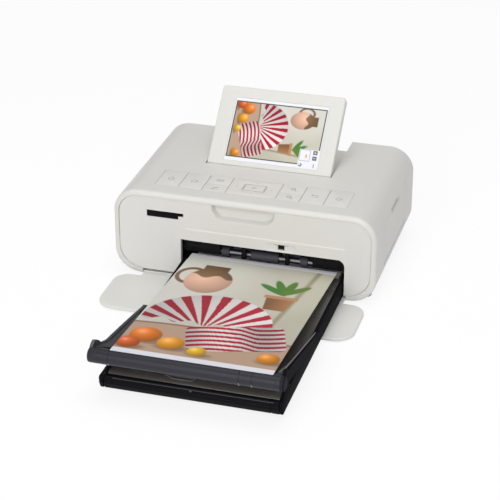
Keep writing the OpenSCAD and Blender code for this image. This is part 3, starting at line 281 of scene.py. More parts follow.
class Nodes:
    # the node tree of a material or a world while it is wired up
    def __init__(self, owner):
        owner.use_nodes = True
        self.tree = owner.node_tree

    def plug(self, value, inlet):
        # a wire is linked to the socket, and anything else becomes its value
        if isinstance(value, Wire):
            self.tree.links.new(value.outlet, inlet)
        elif inlet.type == "RGBA" and len(value) == 3:
            inlet.default_value = (*value, 1)
        else:
            inlet.default_value = value

    def node(self, kind, settings=None, *values, out=0, **named):
        # a node of a kind: its settings first, then the values or wires of its sockets, in their order or by name
        made = self.tree.nodes.new("ShaderNode" + kind)
        for key, value in (settings or {}).items():
            setattr(made, key, value)
        for inlet, value in zip(made.inputs, values):
            if value is not None:
                self.plug(value, inlet)
        for name, value in named.items():
            self.plug(value, made.inputs[name])
        return Wire(self, made.outputs[out])

    def show(self, wire, output):
        # the wire goes into the surface of the tree's output node
        self.plug(wire, self.tree.nodes[output].inputs["Surface"])


class Finish(Nodes):
    # one material, whose shader's sockets are named without their spaces
    def __init__(self, name, **shader):
        self.material = bpy.data.materials.new(name)
        super().__init__(self.material)
        self.shader = self.tree.nodes["Principled BSDF"]
        self.feed(**shader)

    def feed(self, **values):
        # each value or wire goes to the shader's socket of that name
        for inlet in self.shader.inputs:
            key = inlet.name.replace(" ", "")
            if key in values:
                self.plug(values[key], inlet)

    def place(self):
        # the piece's own coordinates in metres
        return self.node("TexCoord", out="Object")

    def grain(self, scale, detail):
        # noise from 0 to 1 whose grains are about 1 / scale metres apart
        return self.node("TexNoise", None, Vector=self.place(), Scale=scale, Detail=detail, Roughness=0.5)

    def relief(self, height, depth, strength):
        # a bump whose depth is given in millimetres
        return self.node("Bump", None, Height=height, Distance=depth * mm, Strength=strength, out="Normal")

    def mix(self, factor, low, high):
        # a colour from low to high as the factor goes from 0 to 1: its colour sockets come after five others
        return self.node("Mix", {"data_type": "RGBA"}, factor, *[None] * 5, low, high, out=2)


def mouldedPlastic(name, colour, roughness=0.42, depth=0.02, scale=2600, drift=0.03, **more):
    # fine spark texture in the mould, a slight drift of colour over the part, and patchy gloss
    made = Finish(name, **more)
    low, high = [tuple(c * (1 + way * drift) for c in colour) for way in (-1, 1)]
    made.feed(BaseColor=made.mix(made.grain(18, 2), low, high),
              Roughness=made.grain(55, 3) * 0.12 + (roughness - 0.06),
              Normal=made.relief(made.grain(scale, 1), depth, 0.5))
    return made


def brushedMetal(name, colour, roughness):
    # fine lines along Y, by a noise that is stretched along that way
    made = Finish(name, Metallic=1.0)
    stretched = made.node("Mapping", None, Vector=made.place(), Scale=(1, 0.03, 1))
    lines = made.node("TexNoise", None, Vector=stretched, Scale=1800, Detail=2)
    made.feed(BaseColor=made.mix(lines, tuple(c * 0.9 for c in colour), colour),
              Roughness=lines * 0.2 + (roughness - 0.1), Normal=made.relief(lines, 0.01, 0.4))
    return made


shellPlastic = mouldedPlastic("shellPlastic", (0.735, 0.725, 0.69), 0.43, drift=0.012)
panelPlastic = mouldedPlastic("panelPlastic", (0.755, 0.750, 0.722), 0.4, drift=0.012)
keyPlastic = mouldedPlastic("keyPlastic", (0.76, 0.75, 0.715), 0.4, drift=0.01)
screenPlastic = mouldedPlastic("screenPlastic", (0.74, 0.735, 0.70), 0.36, drift=0.01)
coverPlastic = mouldedPlastic("coverPlastic", (0.77, 0.765, 0.73), 0.42, drift=0.012)
markInk = mouldedPlastic("markInk", (0.36, 0.36, 0.355), 0.5, drift=0.05)
plateInk = mouldedPlastic("plateInk", (0.735, 0.725, 0.69), 0.34, drift=0.01)
mouthPlastic = mouldedPlastic("mouthPlastic", (0.005, 0.005, 0.006), 0.4, drift=0.2, SpecularIORLevel=0.15)
slatePlastic = mouldedPlastic("slatePlastic", (0.033, 0.033, 0.042), 0.3, 0.012, drift=0.12, SpecularIORLevel=0.16)
blackPlastic = mouldedPlastic("blackPlastic", (0.0055, 0.0055, 0.007), 0.26, 0.01, drift=0.2, SpecularIORLevel=0.06)
# a near-matte black for faces on the unlit right side: on the cheeks it only keeps their black from reflecting, but
# on the tray's right wall, which is slate, it is painted shade
shadedSideBlack = mouldedPlastic("shadedSideBlack", (0.0085, 0.0085, 0.0115), 0.5, drift=0.25, SpecularIORLevel=0.004)
# a darker copy of the slate that paints shade on the bar's right end
shadedSideSlate = mouldedPlastic("shadedSideSlate", (0.026, 0.026, 0.033), 0.5, drift=0.2, SpecularIORLevel=0.01)
# a lighter copy of the slate with a coarser grain: it paints light on the tray's upper plates and left wall, and also
# draws a painted highlight strip
litSlateGrain = mouldedPlastic("litSlateGrain", (0.068, 0.068, 0.074), 0.55, 0.04, drift=0.12, SpecularIORLevel=0.1)
# a light grey with strong gloss for small pieces that paint glints and highlight lines
paintedGlint = mouldedPlastic("paintedGlint", (0.17, 0.17, 0.18), 0.3, 0.01, drift=0.1, SpecularIORLevel=0.6)
smokePlastic = mouldedPlastic("smokePlastic", (0.088, 0.080, 0.070), 0.25, 0.008, drift=0.15, Alpha=0.93,
                              SpecularIORLevel=0.35)
rollerRubber = mouldedPlastic("rollerRubber", (0.060, 0.060, 0.072), 0.6, 0.04, drift=0.12, SpecularIORLevel=0.3)
footRubber = mouldedPlastic("footRubber", (0.36, 0.35, 0.32), 0.7, 0.05, drift=0.1)
basePlastic = mouldedPlastic("basePlastic", (0.60, 0.59, 0.56), 0.5)
guidePlastic = mouldedPlastic("guidePlastic", (0.10, 0.10, 0.11), 0.45, drift=0.08)
gearPlastic = mouldedPlastic("gearPlastic", (0.72, 0.70, 0.62), 0.4, drift=0.04)
ribbonFilm = mouldedPlastic("ribbonFilm", (0.12, 0.05, 0.11), 0.15, 0.005, drift=0.2)
boardGreen = mouldedPlastic("boardGreen", (0.02, 0.15, 0.06), 0.3, 0.03, scale=900, drift=0.25)
paperWhite = mouldedPlastic("paperWhite", (0.80, 0.80, 0.79), 0.6, 0.01, scale=4000, drift=0.01)
shaftSteel = brushedMetal("shaftSteel", (0.72, 0.72, 0.74), 0.22)
# a darker, rougher copy of the shaft steel, which paints shade on the shafts deep in the mouth
shadedSteel = brushedMetal("shadedSteel", (0.22, 0.22, 0.24), 0.45)
sheetSteel = brushedMetal("sheetSteel", (0.50, 0.51, 0.52), 0.38)
headAluminium = brushedMetal("headAluminium", (0.75, 0.76, 0.77), 0.32)
gearBrass = brushedMetal("gearBrass", (0.75, 0.55, 0.24), 0.28)


def paintedFinish(name, roughness):
    # colour comes from the piece's own paint, with a faint grain in the gloss
    made = Finish(name, SpecularIORLevel=0.3)
    paint = made.node("Attribute", {"attribute_name": "paint"}, out="Color")
    made.feed(BaseColor=paint, Roughness=made.grain(60, 2) * 0.06 + roughness)
    return made


printGloss = paintedFinish("printGloss", 0.42)
displayGlass = paintedFinish("displayGlass", 0.35)

# Every node that no piece replaces takes its finish from here
finishOf = {
    "base_plastic": basePlastic, "foot_rubber": footRubber, "steel": shaftSteel, "circuit_board": boardGreen,
    "chassis_sheet": sheetSteel, "grey_plastic": guidePlastic, "roller_rubber": rollerRubber,
    "gear_plastic": gearPlastic, "ribbon_dye": ribbonFilm, "head_aluminium": headAluminium,
    "motor_can": sheetSteel, "brass_gear": gearBrass, "blank_paper": paperWhite, "black_plastic": blackPlastic,
    "warm_white_shell": shellPlastic, "front_plastic": panelPlastic, "key_plastic": keyPlastic,
    "smoke_plastic": smokePlastic, "slate_plastic": slatePlastic, "printed_paper": paperWhite,
    "display_glass": screenPlastic,
}
# these shafts take the darker steel, which paints the mouth's shade on them
shadedSteelNodes = ("capstan", "eject_shaft", "pick_shaft")     # shafts in the mouth's shadow
for entry in frame["record"]["subparts"]:
    held = frame["nodes"][entry["node"]].data.materials
    held.clear()
    held.append((shadedSteel if entry["node"] in shadedSteelNodes else finishOf[entry["material_slot"]]).material)
print("finishes made:", len(bpy.data.materials))

casing = dict(halfWidth=90.3, top=63.3, belly=1.5, topRadius=17.0, lowRadius=17.0, wall=2.2, back=118.0,
              rimRound=3.0, rimWidth=3.7, rimDepth=4.0, rimLow=16.6, baseHalf=66.0, baseFront=5.0, baseBack=114.5,
              tongueHalf=70.6)
well = dict(left=-43.0, right=46.0, front=54.7)
keyRow = dict(left=-65.3, right=66.9, front=13.7, back=37.5)
door = dict(front=25.3, back=92.7, pinX=89.2, low=19.9, top=50.2, seam=0.06, relief=18.7, notchLow=46.6,
            notchMiddle=59.0, notchHalf=13.0, pocketDepth=3.6)


def casingLoop():
    # the outline's points and outward normals: top, right side, belly and left side, with a point at each opening
    c = casing
    upper, lower = c["halfWidth"] - c["topRadius"], c["halfWidth"] - c["lowRadius"]
    topZ, lowZ = c["top"] - c["topRadius"], c["belly"] + c["lowRadius"]
    topX = np.array([-upper, -70, keyRow["left"], -54, well["left"], -22, 0, 22, well["right"], 56, keyRow["right"],
                     70, upper])
    doorUp = math.degrees(math.asin((door["top"] + door["seam"] - topZ) / c["topRadius"]))
    rightUp = np.radians(np.r_[np.linspace(90, doorUp, 13), np.linspace(doorUp, 0, 4)[1:]])
    leftUp = np.radians(np.linspace(180, 90, 15))
    low = np.radians(np.linspace(0, 90, 15))
    sideZ = np.array([topZ, 38, 28, door["relief"]])
    flatX = np.array([c["tongueHalf"], c["baseHalf"], 40, 12, -12, -40, -c["baseHalf"], -c["tongueHalf"]])

    # both give a point and its normal in each row: round a quarter circle, or with one normal for all
    def bend(cx, cz, r, angle):
        return np.stack([cx + r * np.cos(angle), cz + r * np.sin(angle), np.cos(angle), np.sin(angle)], -1)

    def line(x, z, nx, nz):
        return np.stack(np.broadcast_arrays(x, z, nx, nz), -1).astype(float)

    parts = [line(topX[:-1], c["top"], 0, 1), bend(upper, topZ, c["topRadius"], rightUp)[:-1],
             line(c["halfWidth"], sideZ, 1, 0), bend(lower, lowZ, c["lowRadius"], -low),
             line(flatX, c["belly"], 0, -1), bend(-lower, lowZ, c["lowRadius"], low[::-1] - math.pi),
             line(-c["halfWidth"], sideZ[:0:-1], -1, 0), bend(-upper, topZ, c["topRadius"], leftUp)[:-1]]
    loop = np.concatenate(parts)
    return loop[:, :2], loop[:, 2:]


def rimLean(loop, normal):
    # the step from each outline point to the rim's opening, whose lower corners are circles of their own radius
    c = casing
    inside = loop - c["rimWidth"] * normal
    side, level = c["halfWidth"] - c["rimWidth"] - c["rimLow"], c["belly"] + c["rimWidth"] + c["rimLow"]
    centre = np.stack([side * np.sign(inside[:, 0]), np.full(len(inside), level)], -1)
    away = inside - centre
    bent = centre + c["rimLow"] * away / np.linalg.norm(away, axis=1, keepdims=True)
    corner = ((abs(inside[:, 0]) > side) & (inside[:, 1] < level))[:, None]
    return (loop - np.where(corner, bent, inside)) / c["rimWidth"]


def across(loop, normal, inset, y):
    # each outline point moves inwards by the inset and stands at y: point - inset * normal
    flat = loop[:, None] - inset[None, :, None] * normal[:, None]
    return np.stack([flat[..., 0], np.broadcast_to(y, flat.shape[:2]), flat[..., 1]], -1)


def casingShell():
    # the outline is carried along a profile: back, side, rounded rim and its inner lip, with the openings left out
    loop, normal = casingLoop()
    c, r = casing, casing["rimRound"]
    sideY = np.array([c["back"], c["baseBack"], 106, door["back"] + door["seam"], 80, 66, well["front"], 46,
                      keyRow["back"], 30, door["front"] - door["seam"], 19, keyRow["front"], 9, c["baseFront"]])
    turn = np.radians(np.linspace(0, 90, 8))
    outerInset = np.r_[0 * sideY, r - r * np.cos(turn), c["rimWidth"] - 0.3, c["rimWidth"], c["rimWidth"]]
    outerY = np.r_[sideY, r - r * np.sin(turn), 0, 0.3, c["rimDepth"]]
    innerY = np.r_[sideY, np.linspace(4.9, c["rimDepth"], len(outerY) - len(sideY))]
    innerInset = np.full(len(innerY), c["wall"])
    top, bottom = across(loop, rimLean(loop, normal), outerInset, outerY), across(loop, normal, innerInset, innerY)
    around = (loop + np.roll(loop, -1, 0)) / 2
    x, z = around[:, 0, None], around[:, 1, None]
    y = (outerY[:-1] + outerY[1:])[None] / 2
    above, below = z > c["top"] - 0.5, z < c["belly"] + 0.6
    right = (x > 80) & (z > door["relief"]) & (z < door["top"] + 0.1)
    gone = above & (x > well["left"]) & (x < well["right"]) & (y > well["front"])
    gone |= above & (x > keyRow["left"]) & (x < keyRow["right"]) & (y > keyRow["front"]) & (y < keyRow["back"])
    gone |= right & (y > door["front"]) & (y < door["back"])
    gone |= below & (abs(x) < c["baseHalf"]) & (y > c["baseFront"]) & (y < c["baseBack"])
    gone |= below & (abs(x) < c["tongueHalf"]) & (y < c["baseFront"])
    return sheetSolid(top, bottom, ~gone, wrap=True)


piece("casingShell", casingShell(), shellPlastic, "casing", ["outer_case"], bevel=0.3)

panel = dict(face=0.6, inset=3.8, lowRound=16.5, back=4.0, low=5.5, top=59.5, mouthLeft=-43.3, mouthRight=69.2,
             mouthTop=31.6, mouthRound=5.0, lintelOut=0.55, lintelTop=39.9, lintelLeft=-46.0, lintelRight=71.0,
             fingerHalf=21.5, fingerLow=48.7, fingerDepth=4.6, fingerRound=9.0)
cardSlot = dict(left=-66.7, right=-41.1, low=45.6, top=50.3, stepX=-44.6, stepZ=47.9)
socket = dict(x=26.2, z=34.8, pillHalf=10.4, pillHigh=2.5, sunk=0.45, left=21.6, right=30.8, top=36.8, low=33.0,
              shoulder=36.3, stemLeft=24.0, stemRight=28.6, tongue=(25.0, 27.6, 1.4, 2.4, 34.9, 35.5))


def panelFace(x, z):
    # depth of the front: a raised lintel, a scooped finger recess, a sunk pill round the socket and a rounded rim
    p, c, s = panel, casing, socket
    lintel = (smooth((x - p["lintelLeft"]) / 12.0) * smooth((p["lintelRight"] - x) / 5.0)
              * smooth((p["lintelTop"] - z) / 0.7))
    finger = boxDistance(x, z, 0, 75, p["fingerHalf"], 75 - p["fingerLow"], p["fingerRound"])
    pill = boxDistance(x, z, s["x"], s["z"], s["pillHalf"], s["pillHigh"], s["pillHigh"])
    half = c["halfWidth"] - p["inset"]
    low = boxDistance(x, z, 0, 100 + c["belly"] + p["inset"], half, 100, p["lowRound"])
    high = boxDistance(x, z, 0, c["top"] - p["inset"] - 100, half, 100, c["topRadius"] - p["inset"])
    rim = np.clip(1 + np.maximum(low, high) / 0.5, 0, 1)
    return (p["face"] - p["lintelOut"] * lintel + p["fingerDepth"] * smooth(-finger / 1.3)
            + s["sunk"] * smooth(-pill / 0.5) + 0.5 * (1 - np.sqrt(1 - rim ** 2)))


def frontPanel():
    # columns of points between the outline's lower and upper edge, at the depth that panelFace gives
    p, c, k, s = panel, casing, cardSlot, socket
    lowRound, topRound = p["lowRound"], c["topRadius"] - p["inset"]
    lower, upper = c["halfWidth"] - p["inset"] - lowRound, c["halfWidth"] - c["topRadius"]
    corner = lower + lowRound * np.sin(np.radians(np.linspace(5, 90, 18)))
    marks = [p["mouthLeft"], p["mouthRight"], k["left"], k["right"], k["stepX"], s["left"], s["right"],
             s["stemLeft"], s["stemRight"]]
    middle = np.r_[np.arange(-70, -46, 1.0), np.arange(-46, 70.01, 0.5), marks]
    x = np.unique(np.round(np.r_[-corner, middle, corner, -c["tongueHalf"], c["tongueHalf"]], 3))
    lowRows, midRows = [p["low"], 5.65, 5.85, 6.2, *np.arange(9, 31, 2.5), 30.6, 31.1], np.arange(32, 59.01, 0.5)
    lintelRows, topRows = [39.2, 39.35, 39.65, 39.8], [59.2, 59.3, 59.4, p["top"]]
    marks = [p["mouthTop"], k["low"], k["top"], k["stepZ"], s["shoulder"], s["top"], s["low"]]
    z = np.unique(np.round(np.r_[lowRows, midRows, lintelRows, topRows, marks], 3))
    lowReach, topReach = np.maximum(abs(x) - lower, 0), np.maximum(abs(x) - upper, 0)
    lowEdge = c["belly"] + p["inset"] + lowRound - np.sqrt(np.maximum(lowRound ** 2 - lowReach ** 2, 0))
    topEdge = c["top"] - c["topRadius"] + np.sqrt(np.maximum(topRound ** 2 - topReach ** 2, 0))
    share = (z - z[0]) / (z[-1] - z[0])
    height = lowEdge[:, None] + share[None] * (topEdge - lowEdge)[:, None]
    wide = np.broadcast_to(x[:, None], height.shape)
    depth = panelFace(wide, height)
    top = np.stack([wide, depth, height], -1)
    bottom = np.stack([wide, np.maximum(depth + 1.4, p["back"]), height], -1)
    cx, cz = (x[:-1] + x[1:])[:, None] / 2, (z[:-1] + z[1:])[None] / 2
    gone = np.zeros((len(x) - 1, len(z) - 1), bool)
    for x0, x1, z0, z1 in ((p["mouthLeft"], p["mouthRight"], 0, p["mouthTop"]),
                           (k["left"], k["stepX"], k["low"], k["top"]),
                           (k["stepX"], k["right"], k["stepZ"], k["top"]),
                           (s["left"], s["right"], s["shoulder"], s["top"]),
                           (s["stemLeft"], s["stemRight"], s["low"], s["shoulder"])):
        gone |= (cx > x0) & (cx < x1) & (cz > z0) & (cz < z1)
    return sheetSolid(top, bottom, ~gone)


def cornerFill():
    # the mouth's rounded corner: straight lines from the circle out to the square corner, carried back
    p = panel
    r, right, top = p["mouthRound"], p["mouthRight"], p["mouthTop"]
    bend = arc((right - r, top - r), r, 0, 90, 12)
    square = np.concatenate([np.c_[np.full(7, right), np.linspace(top - r, top, 7)],
                             np.c_[np.linspace(right, right - r, 7)[1:], np.full(6, top)]])
    depth = (p["face"] - p["lintelOut"], p["back"])
    return sheetSolid(*[np.stack([standing(bend, y, "y"), standing(square, y, "y")], 1) for y in depth])


piece("frontPanel", frontPanel(), panelPlastic, "casing", ["front_panel"])
piece("mouthCorner", cornerFill(), panelPlastic, "casing", ["front_panel"])


def cardMouth():
    # a black frame just inside the slot, stepped at its lower right, with a thin dark lip across its middle
    k, face = cardSlot, panel["face"]
    x0, x1, z0, z1 = k["left"] + 0.05, k["right"] - 0.05, k["low"] + 0.05, k["top"] - 0.05
    step = (k["stepX"] - 0.1, k["stepZ"] + 0.05)
    outline = np.array([(x0, z0), (step[0], z0), step, (x1, step[1]), (x1, z1), (x0, z1)])
    back = softPrism(softCorners(outline, 0.7), face + 0.15, 3.6, 0.25, 0.05, "y", 3)
    lip = softPrism(roundRect(x0 + 0.6, x1 - 0.5, 48.5, 49.3, 0.3), face - 0.05, 1.2, 0.15, 0.05, "y", 3)
    return joined(back, lip)


def socketPlate():
    # a dark block behind the socket's opening, and the tongue inside it
    s = socket
    return joined(softBox(s["left"] + 0.1, s["right"] - 0.1, 1.9, 3.2, s["low"] + 0.1, s["top"] - 0.05, 0.1),
                  softBox(*s["tongue"], 0.1))


piece("cardMouth", cardMouth(), blackPlastic, "casing")
piece("socketPlate", socketPlate(), mouthPlastic, "casing")

mouth = dict(front=5.4, back=28.0, wall=1.0, floor=3.9, fins=(-4.0, 31.0), beam=(-42.6, 68.4, 24.6, 26.4, 19.2, 30.5),
             shelfLow=28.6, clips=((-2.6, 0.6, 7.9, 19.6), (27.6, 30.4, 7.9, 19.6), (-42.4, -17.2, 7.0, 20.6),
                                   (46.2, 68.2, 7.0, 20.6)), bosses=((-40, -20), (50, 65)))


def mouthArch(grow, corner):
    # the mouth's outline, larger by grow: up its left side, along its top, round its corner and down its right side
    p, floor = panel, mouth["floor"]
    left, right, top, r = p["mouthLeft"] - grow, p["mouthRight"] + grow, p["mouthTop"] + grow, p["mouthRound"]
    return np.concatenate([[(left, floor), (left, 18), (left, top - corner), (-20, top), (20, top), (50, top)],
                           arc((p["mouthRight"] - r, p["mouthTop"] - r), r + grow, 90, 0, 8), [(right, floor)]])


def mouthLiner():
    # an arch of constant thickness round the mouth, carried back, with fins, clips, bosses, a beam and a shelf
    m, top = mouth, panel["mouthTop"]
    y = np.array([m["front"], 7, 12, 20, m["back"]])
    arch = sheetSolid(*[np.stack([standing(side, v, "y") for v in y], 1)
                        for side in (mouthArch(0, 0.01), mouthArch(m["wall"], 0))])
    fins = [softBox(x - 0.5, x + 0.5, 5.6, 27, 28.2, top + 0.3, 0.2) for x in m["fins"]]
    clips = [softBox(x0, x1, 5.5, y1, z0, top + 0.3, 0.4) for x0, x1, y1, z0 in m["clips"]]
    bosses = [softPrism(roundRect(x0, x1, 23.2, 26.4, 0.8), 5.15, 5.8, 0.1, 0.3, "y", 2) for x0, x1 in m["bosses"]]
    shelf = softBox(*m["beam"][:2], 5.5, 6.9, m["shelfLow"], top + 0.2, 0.5)
    return joined(arch, *fins, *clips, *bosses, softBox(*m["beam"], 0.3), shelf)


piece("mouthLiner", mouthLiner(), mouthPlastic, "casing", ["paper_mouth"])


def ribbonDoor():
    # the part of the outline between the door's two edges, as thick as the wall, with a barrel and a finger notch
    c, d, r = casing, door, casing["topRadius"]
    upper, topZ = c["halfWidth"] - r, c["top"] - r
    up, notch = math.asin((d["top"] - topZ) / r), math.asin((d["notchLow"] - topZ) / r)
    angles = np.r_[np.linspace(up, notch, 5), np.linspace(notch, 0, 2)[1:]]
    straight = np.linspace(topZ, d["low"], 5)[1:]
    points = np.concatenate([
        np.c_[upper + r * np.cos(angles), topZ + r * np.sin(angles), np.cos(angles), np.sin(angles)],
        np.c_[np.full(4, c["halfWidth"]), straight, np.ones(4), np.zeros(4)]])
    y = np.array([d["front"], 36, 46, d["notchMiddle"], 72, 82, d["back"]])
    sides = [across(points[:, :2], points[:, 2:], np.full(len(y), inset), y) for inset in (0.0, c["wall"])]
    midZ = (points[:-1, 1] + points[1:, 1])[:, None] / 2
    midY = (y[:-1] + y[1:])[None] / 2
    leaf = sheetSolid(*sides, ~((midZ > d["notchLow"]) & (abs(midY - d["notchMiddle"]) < d["notchHalf"])))
    axle = (d["pinX"], d["low"])
    barrel = turned([(d["front"], 1.05), (d["back"], 1.05)], axle, "y", 24)
    pins = turned([(d["front"] - 3, 0.6), (d["back"] + 3, 0.6)], axle, "y", 16)
    return joined(leaf, barrel, pins)


def pullPocket():
    # a shallow bowl in the notch: the casing's own curve, sunk by a depth that fades to nothing at the rim
    c, d, r = casing, door, casing["topRadius"]
    u, v = np.meshgrid(np.linspace(-1, 1, 25), np.linspace(-1, 1, 13), indexing="ij")
    y, z = d["notchMiddle"] + (d["notchHalf"] - 0.1) * u, 48.4 + 1.75 * v
    rise = np.maximum(z - c["top"] + r, 0)
    sunk = d["pocketDepth"] * (1 - u ** 8) * (1 - v ** 6)
    x = c["halfWidth"] - r + np.sqrt(r ** 2 - rise ** 2) - 0.25 - sunk
    return sheetSolid(np.stack([x, y, z], -1), np.stack([x - 0.8, y, z], -1))


piece("ribbonDoorLeaf", ribbonDoor(), shellPlastic, "door", ["ribbon_door"], bevel=0.35)
piece("pullPocket", pullPocket(), panelPlastic, "casing")
print("casing built")

keys = dict(width=16.3, padWidth=34.4, gap=0.15, play=0.07, under=59.9, top=63.3, edge=0.3, okWidth=15.4,
            okLength=10.3, okPlay=0.1, stemLow=58.95, stemRound=1.5, markDrop=0.6, markScale=1.3)
pen = 0.32
markLevel = (keys["top"] - 0.02, keys["top"] + 0.05)
keyFront, keyMid, keyBack = keyRow["front"], (keyRow["front"] + keyRow["back"]) / 2, keyRow["back"]


def column(i):
    # the left edge of column i, past the pad's wider column
    return keyRow["left"] + i * keys["width"] + (keys["padWidth"] - keys["width"] if i > 3 else 0)


def keyStem(x, y):
    # a round post under a key's middle
    k = keys
    return turned([(k["stemLow"], k["stemRound"]), (k["under"] + 0.5, k["stemRound"])], (x, y), "z", 20)


def keyCap(x0, x1, y0, y1):
    # a rounded block with a stem below
    k = keys
    loop = roundRect(x0 + k["gap"], x1 - k["gap"], y0 + k["play"], y1 - k["play"], 0.3, steps=3)
    return joined(softPrism(loop, k["under"], k["top"], 0.1, k["edge"]), keyStem((x0 + x1) / 2, (y0 + y1) / 2))


def penMarks(x, y, scale, strokes):
    # pen lines round (x, y): each has its points from there and its width, and closes where it meets its start
    made = []
    for points, width in strokes:
        path = np.asarray(points, float) * scale + (x, y)
        close = np.allclose(path[0], path[-1])
        made.append(strokeMark(path[:-1] if close else path, width * scale, *markLevel, close=close))
    return joined(*made)


def chevron(x, y, dx, dy):
    # an arrow head at (x, y) that points along (dx, dy)
    return [(x - dx * 0.5 + dy * 0.9, y - dy * 0.5 + dx * 0.9), (x + dx * 0.4, y + dy * 0.4),
            (x - dx * 0.5 - dy * 0.9, y - dy * 0.5 - dx * 0.9)], 0.28


lensMark = [(arc((0, 0.3), 1.2, 0, 360, 24), pen), ([(0.9, -0.6), (2.0, -1.7)], 0.4),
            ([(-0.6, 0.3), (0.6, 0.3)], 0.25)]
hook = np.vstack([[(-1.8, 0.7), (0.6, 0.7)], arc((0.6, -0.3), 1.0, 80, -80, 8), [(-0.6, -1.3)]])
keyMarks = dict(
    power=[(arc((0, 0), 1.5, 120, 420, 24), pen), ([(0, 0.4), (0, 2.0)], pen)],
    home=[([(-2, 0.2), (0, 1.8), (2, 0.2)], pen), ([(-1.4, 0.3), (-1.4, -1.4), (1.4, -1.4), (1.4, 0.3)], pen),
          ([(0, -1.3), (0, -0.3)], pen)],
    menu=[([(-2, up), (2, up)], pen) for up in (-0.9, 0, 0.9)],
    edit=[([(-1.6, -1.2), (1.4, 1.2)], 0.5), ([(-2, -1.6), (2.2, -1.6)], 0.25)],
    zoom_out=lensMark, zoom_in=lensMark + [([(0, -0.3), (0, 0.9)], 0.25)],
    back=[(hook, pen), ([(-1.0, 1.5), (-1.9, 0.7), (-1.0, -0.1)], pen)],
    print=[(arc((0, 0), 1.9, 0, 360, 4), pen), ([(-0.7, 0), (0.7, 0)], 0.3)])
keyPlaces = [("power", 0, keyFront, keyBack), ("home", 1, keyFront, keyBack), ("menu", 2, keyMid, keyBack),
             ("edit", 2, keyFront, keyMid), ("zoom_in", 4, keyMid, keyBack), ("zoom_out", 4, keyFront, keyMid),
             ("back", 5, keyFront, keyBack), ("print", 6, keyFront, keyBack)]
for label, place, y0, y1 in keyPlaces:
    x0, x1 = column(place), column(place + 1)
    piece(label + "Cap", keyCap(x0, x1, y0, y1), keyPlastic, label + "_button", [label + "_key"])
    mark = penMarks((x0 + x1) / 2, (y0 + y1) / 2 - keys["markDrop"], keys["markScale"], keyMarks[label])
    piece(label + "Mark", mark, markInk, label + "_button", flat=True)

padX = (column(3) + column(4)) / 2


def okEdge(play, rounding, steps):
    # the rounded rectangle of the middle key, larger on each side by the play
    halfX, halfY = keys["okWidth"] / 2 + play, keys["okLength"] / 2 + play
    return roundRect(padX - halfX, padX + halfX, keyMid - halfY, keyMid + halfY, rounding, steps=steps)


def padCap():
    # the pad's rounded rectangle with a rounded rectangular window: two loops carried round one closed profile
    k, under, top, e = keys, keys["under"], keys["top"], keys["edge"]
    outer = roundRect(column(3) + k["gap"], column(4) - k["gap"], keyFront + k["play"], keyBack - k["play"], 0.3,
                      steps=3)
    inner = okEdge(k["okPlay"], 1.1, 3)
    walk = ((outer, 0, under), (outer, 0, top - e), (outer, e * 0.3, top - e * 0.3), (outer, e, top),
            (inner, -e, top), (inner, -e * 0.3, top - e * 0.3), (inner, 0, top - e), (inner, 0, under))
    rings = [standing(shrunk(loop, inset) if inset else loop, z, "z") for loop, inset, z in walk]
    return ringSolid(rings, closed=True)


okLoop = okEdge(-keys["okPlay"], 1.0, 4)
okCap = joined(softPrism(okLoop, keys["under"], keys["top"], 0.1, 0.3), keyStem(padX, keyMid))
okMark = joined(strokeMark(shrunk(okLoop, 0.45), 0.45, *markLevel, close=True),
                penMarks(padX, keyMid, 1, [(arc((0, 0), 1.3, 0, 360, 24), pen)]))
padMarks = penMarks(padX, keyMid, 1, [chevron(-12, 0, -1, 0), chevron(12, 0, 1, 0), chevron(0, 8, 0, 1),
                                      chevron(0, -8, 0, -1)])
piece("padCap", padCap(), keyPlastic, "pad_button", ["four_way_pad"])
piece("padMarks", padMarks, markInk, "pad_button", flat=True)
piece("okCap", okCap, keyPlastic, "ok_button", ["ok_key"])
piece("okMark", okMark, markInk, "ok_button", flat=True)

band = dict(right=-65.9, front=8.2, back=33.8, turn=82.0, proud=0.05)


def statusBand():
    # a thin skin over the casing's left shoulder: straight along the top, then round the corner
    c, b = casing, band
    upper, topZ, r = c["halfWidth"] - c["topRadius"], c["top"] - c["topRadius"], c["topRadius"] + b["proud"]
    angle = np.radians(np.linspace(90, 90 + b["turn"], 20))
    x = np.r_[np.linspace(b["right"], -upper, 4)[:-1], -upper + r * np.cos(angle)]
    z = np.r_[np.full(3, c["top"] + b["proud"]), topZ + r * np.sin(angle)]
    skin = np.stack(np.broadcast_arrays(x[:, None], np.linspace(b["front"], b["back"], 9), z[:, None]), -1)
    centre = np.array([0.0, 0.0, 40.0])
    return sheetSolid(skin, centre + (skin - centre) * (0.99, 1, 0.99))


piece("statusBand", statusBand(), plateInk, "casing")
print("keys built")

screen = dict(left=-42.2, right=45.2, front=61.2, chin=59.5, back=117.8, under=56.4, face=63.2, seam=59.4,
              pinY=58.0, pinZ=60.0, tilt=45.0, barrel=2.9, round=0.9, backRound=1.6, windowLeft=-31.0,
              windowRight=35.0, windowFront=63.2, windowBack=109.6, lip=(-42.9, 45.9, 54.6, 55.9, 62.3, 63.28))


def tilted(points):
    # turned by the lean about the pin: y' = y cos a - z sin a and z' = y sin a + z cos a, measured from the pin
    a = math.radians(screen["tilt"])
    y, z = points[:, 1] - screen["pinY"], points[:, 2] - screen["pinZ"]
    return np.stack([points[:, 0], screen["pinY"] + y * math.cos(a) - z * math.sin(a),
                     screen["pinZ"] + y * math.sin(a) + z * math.cos(a)], -1)


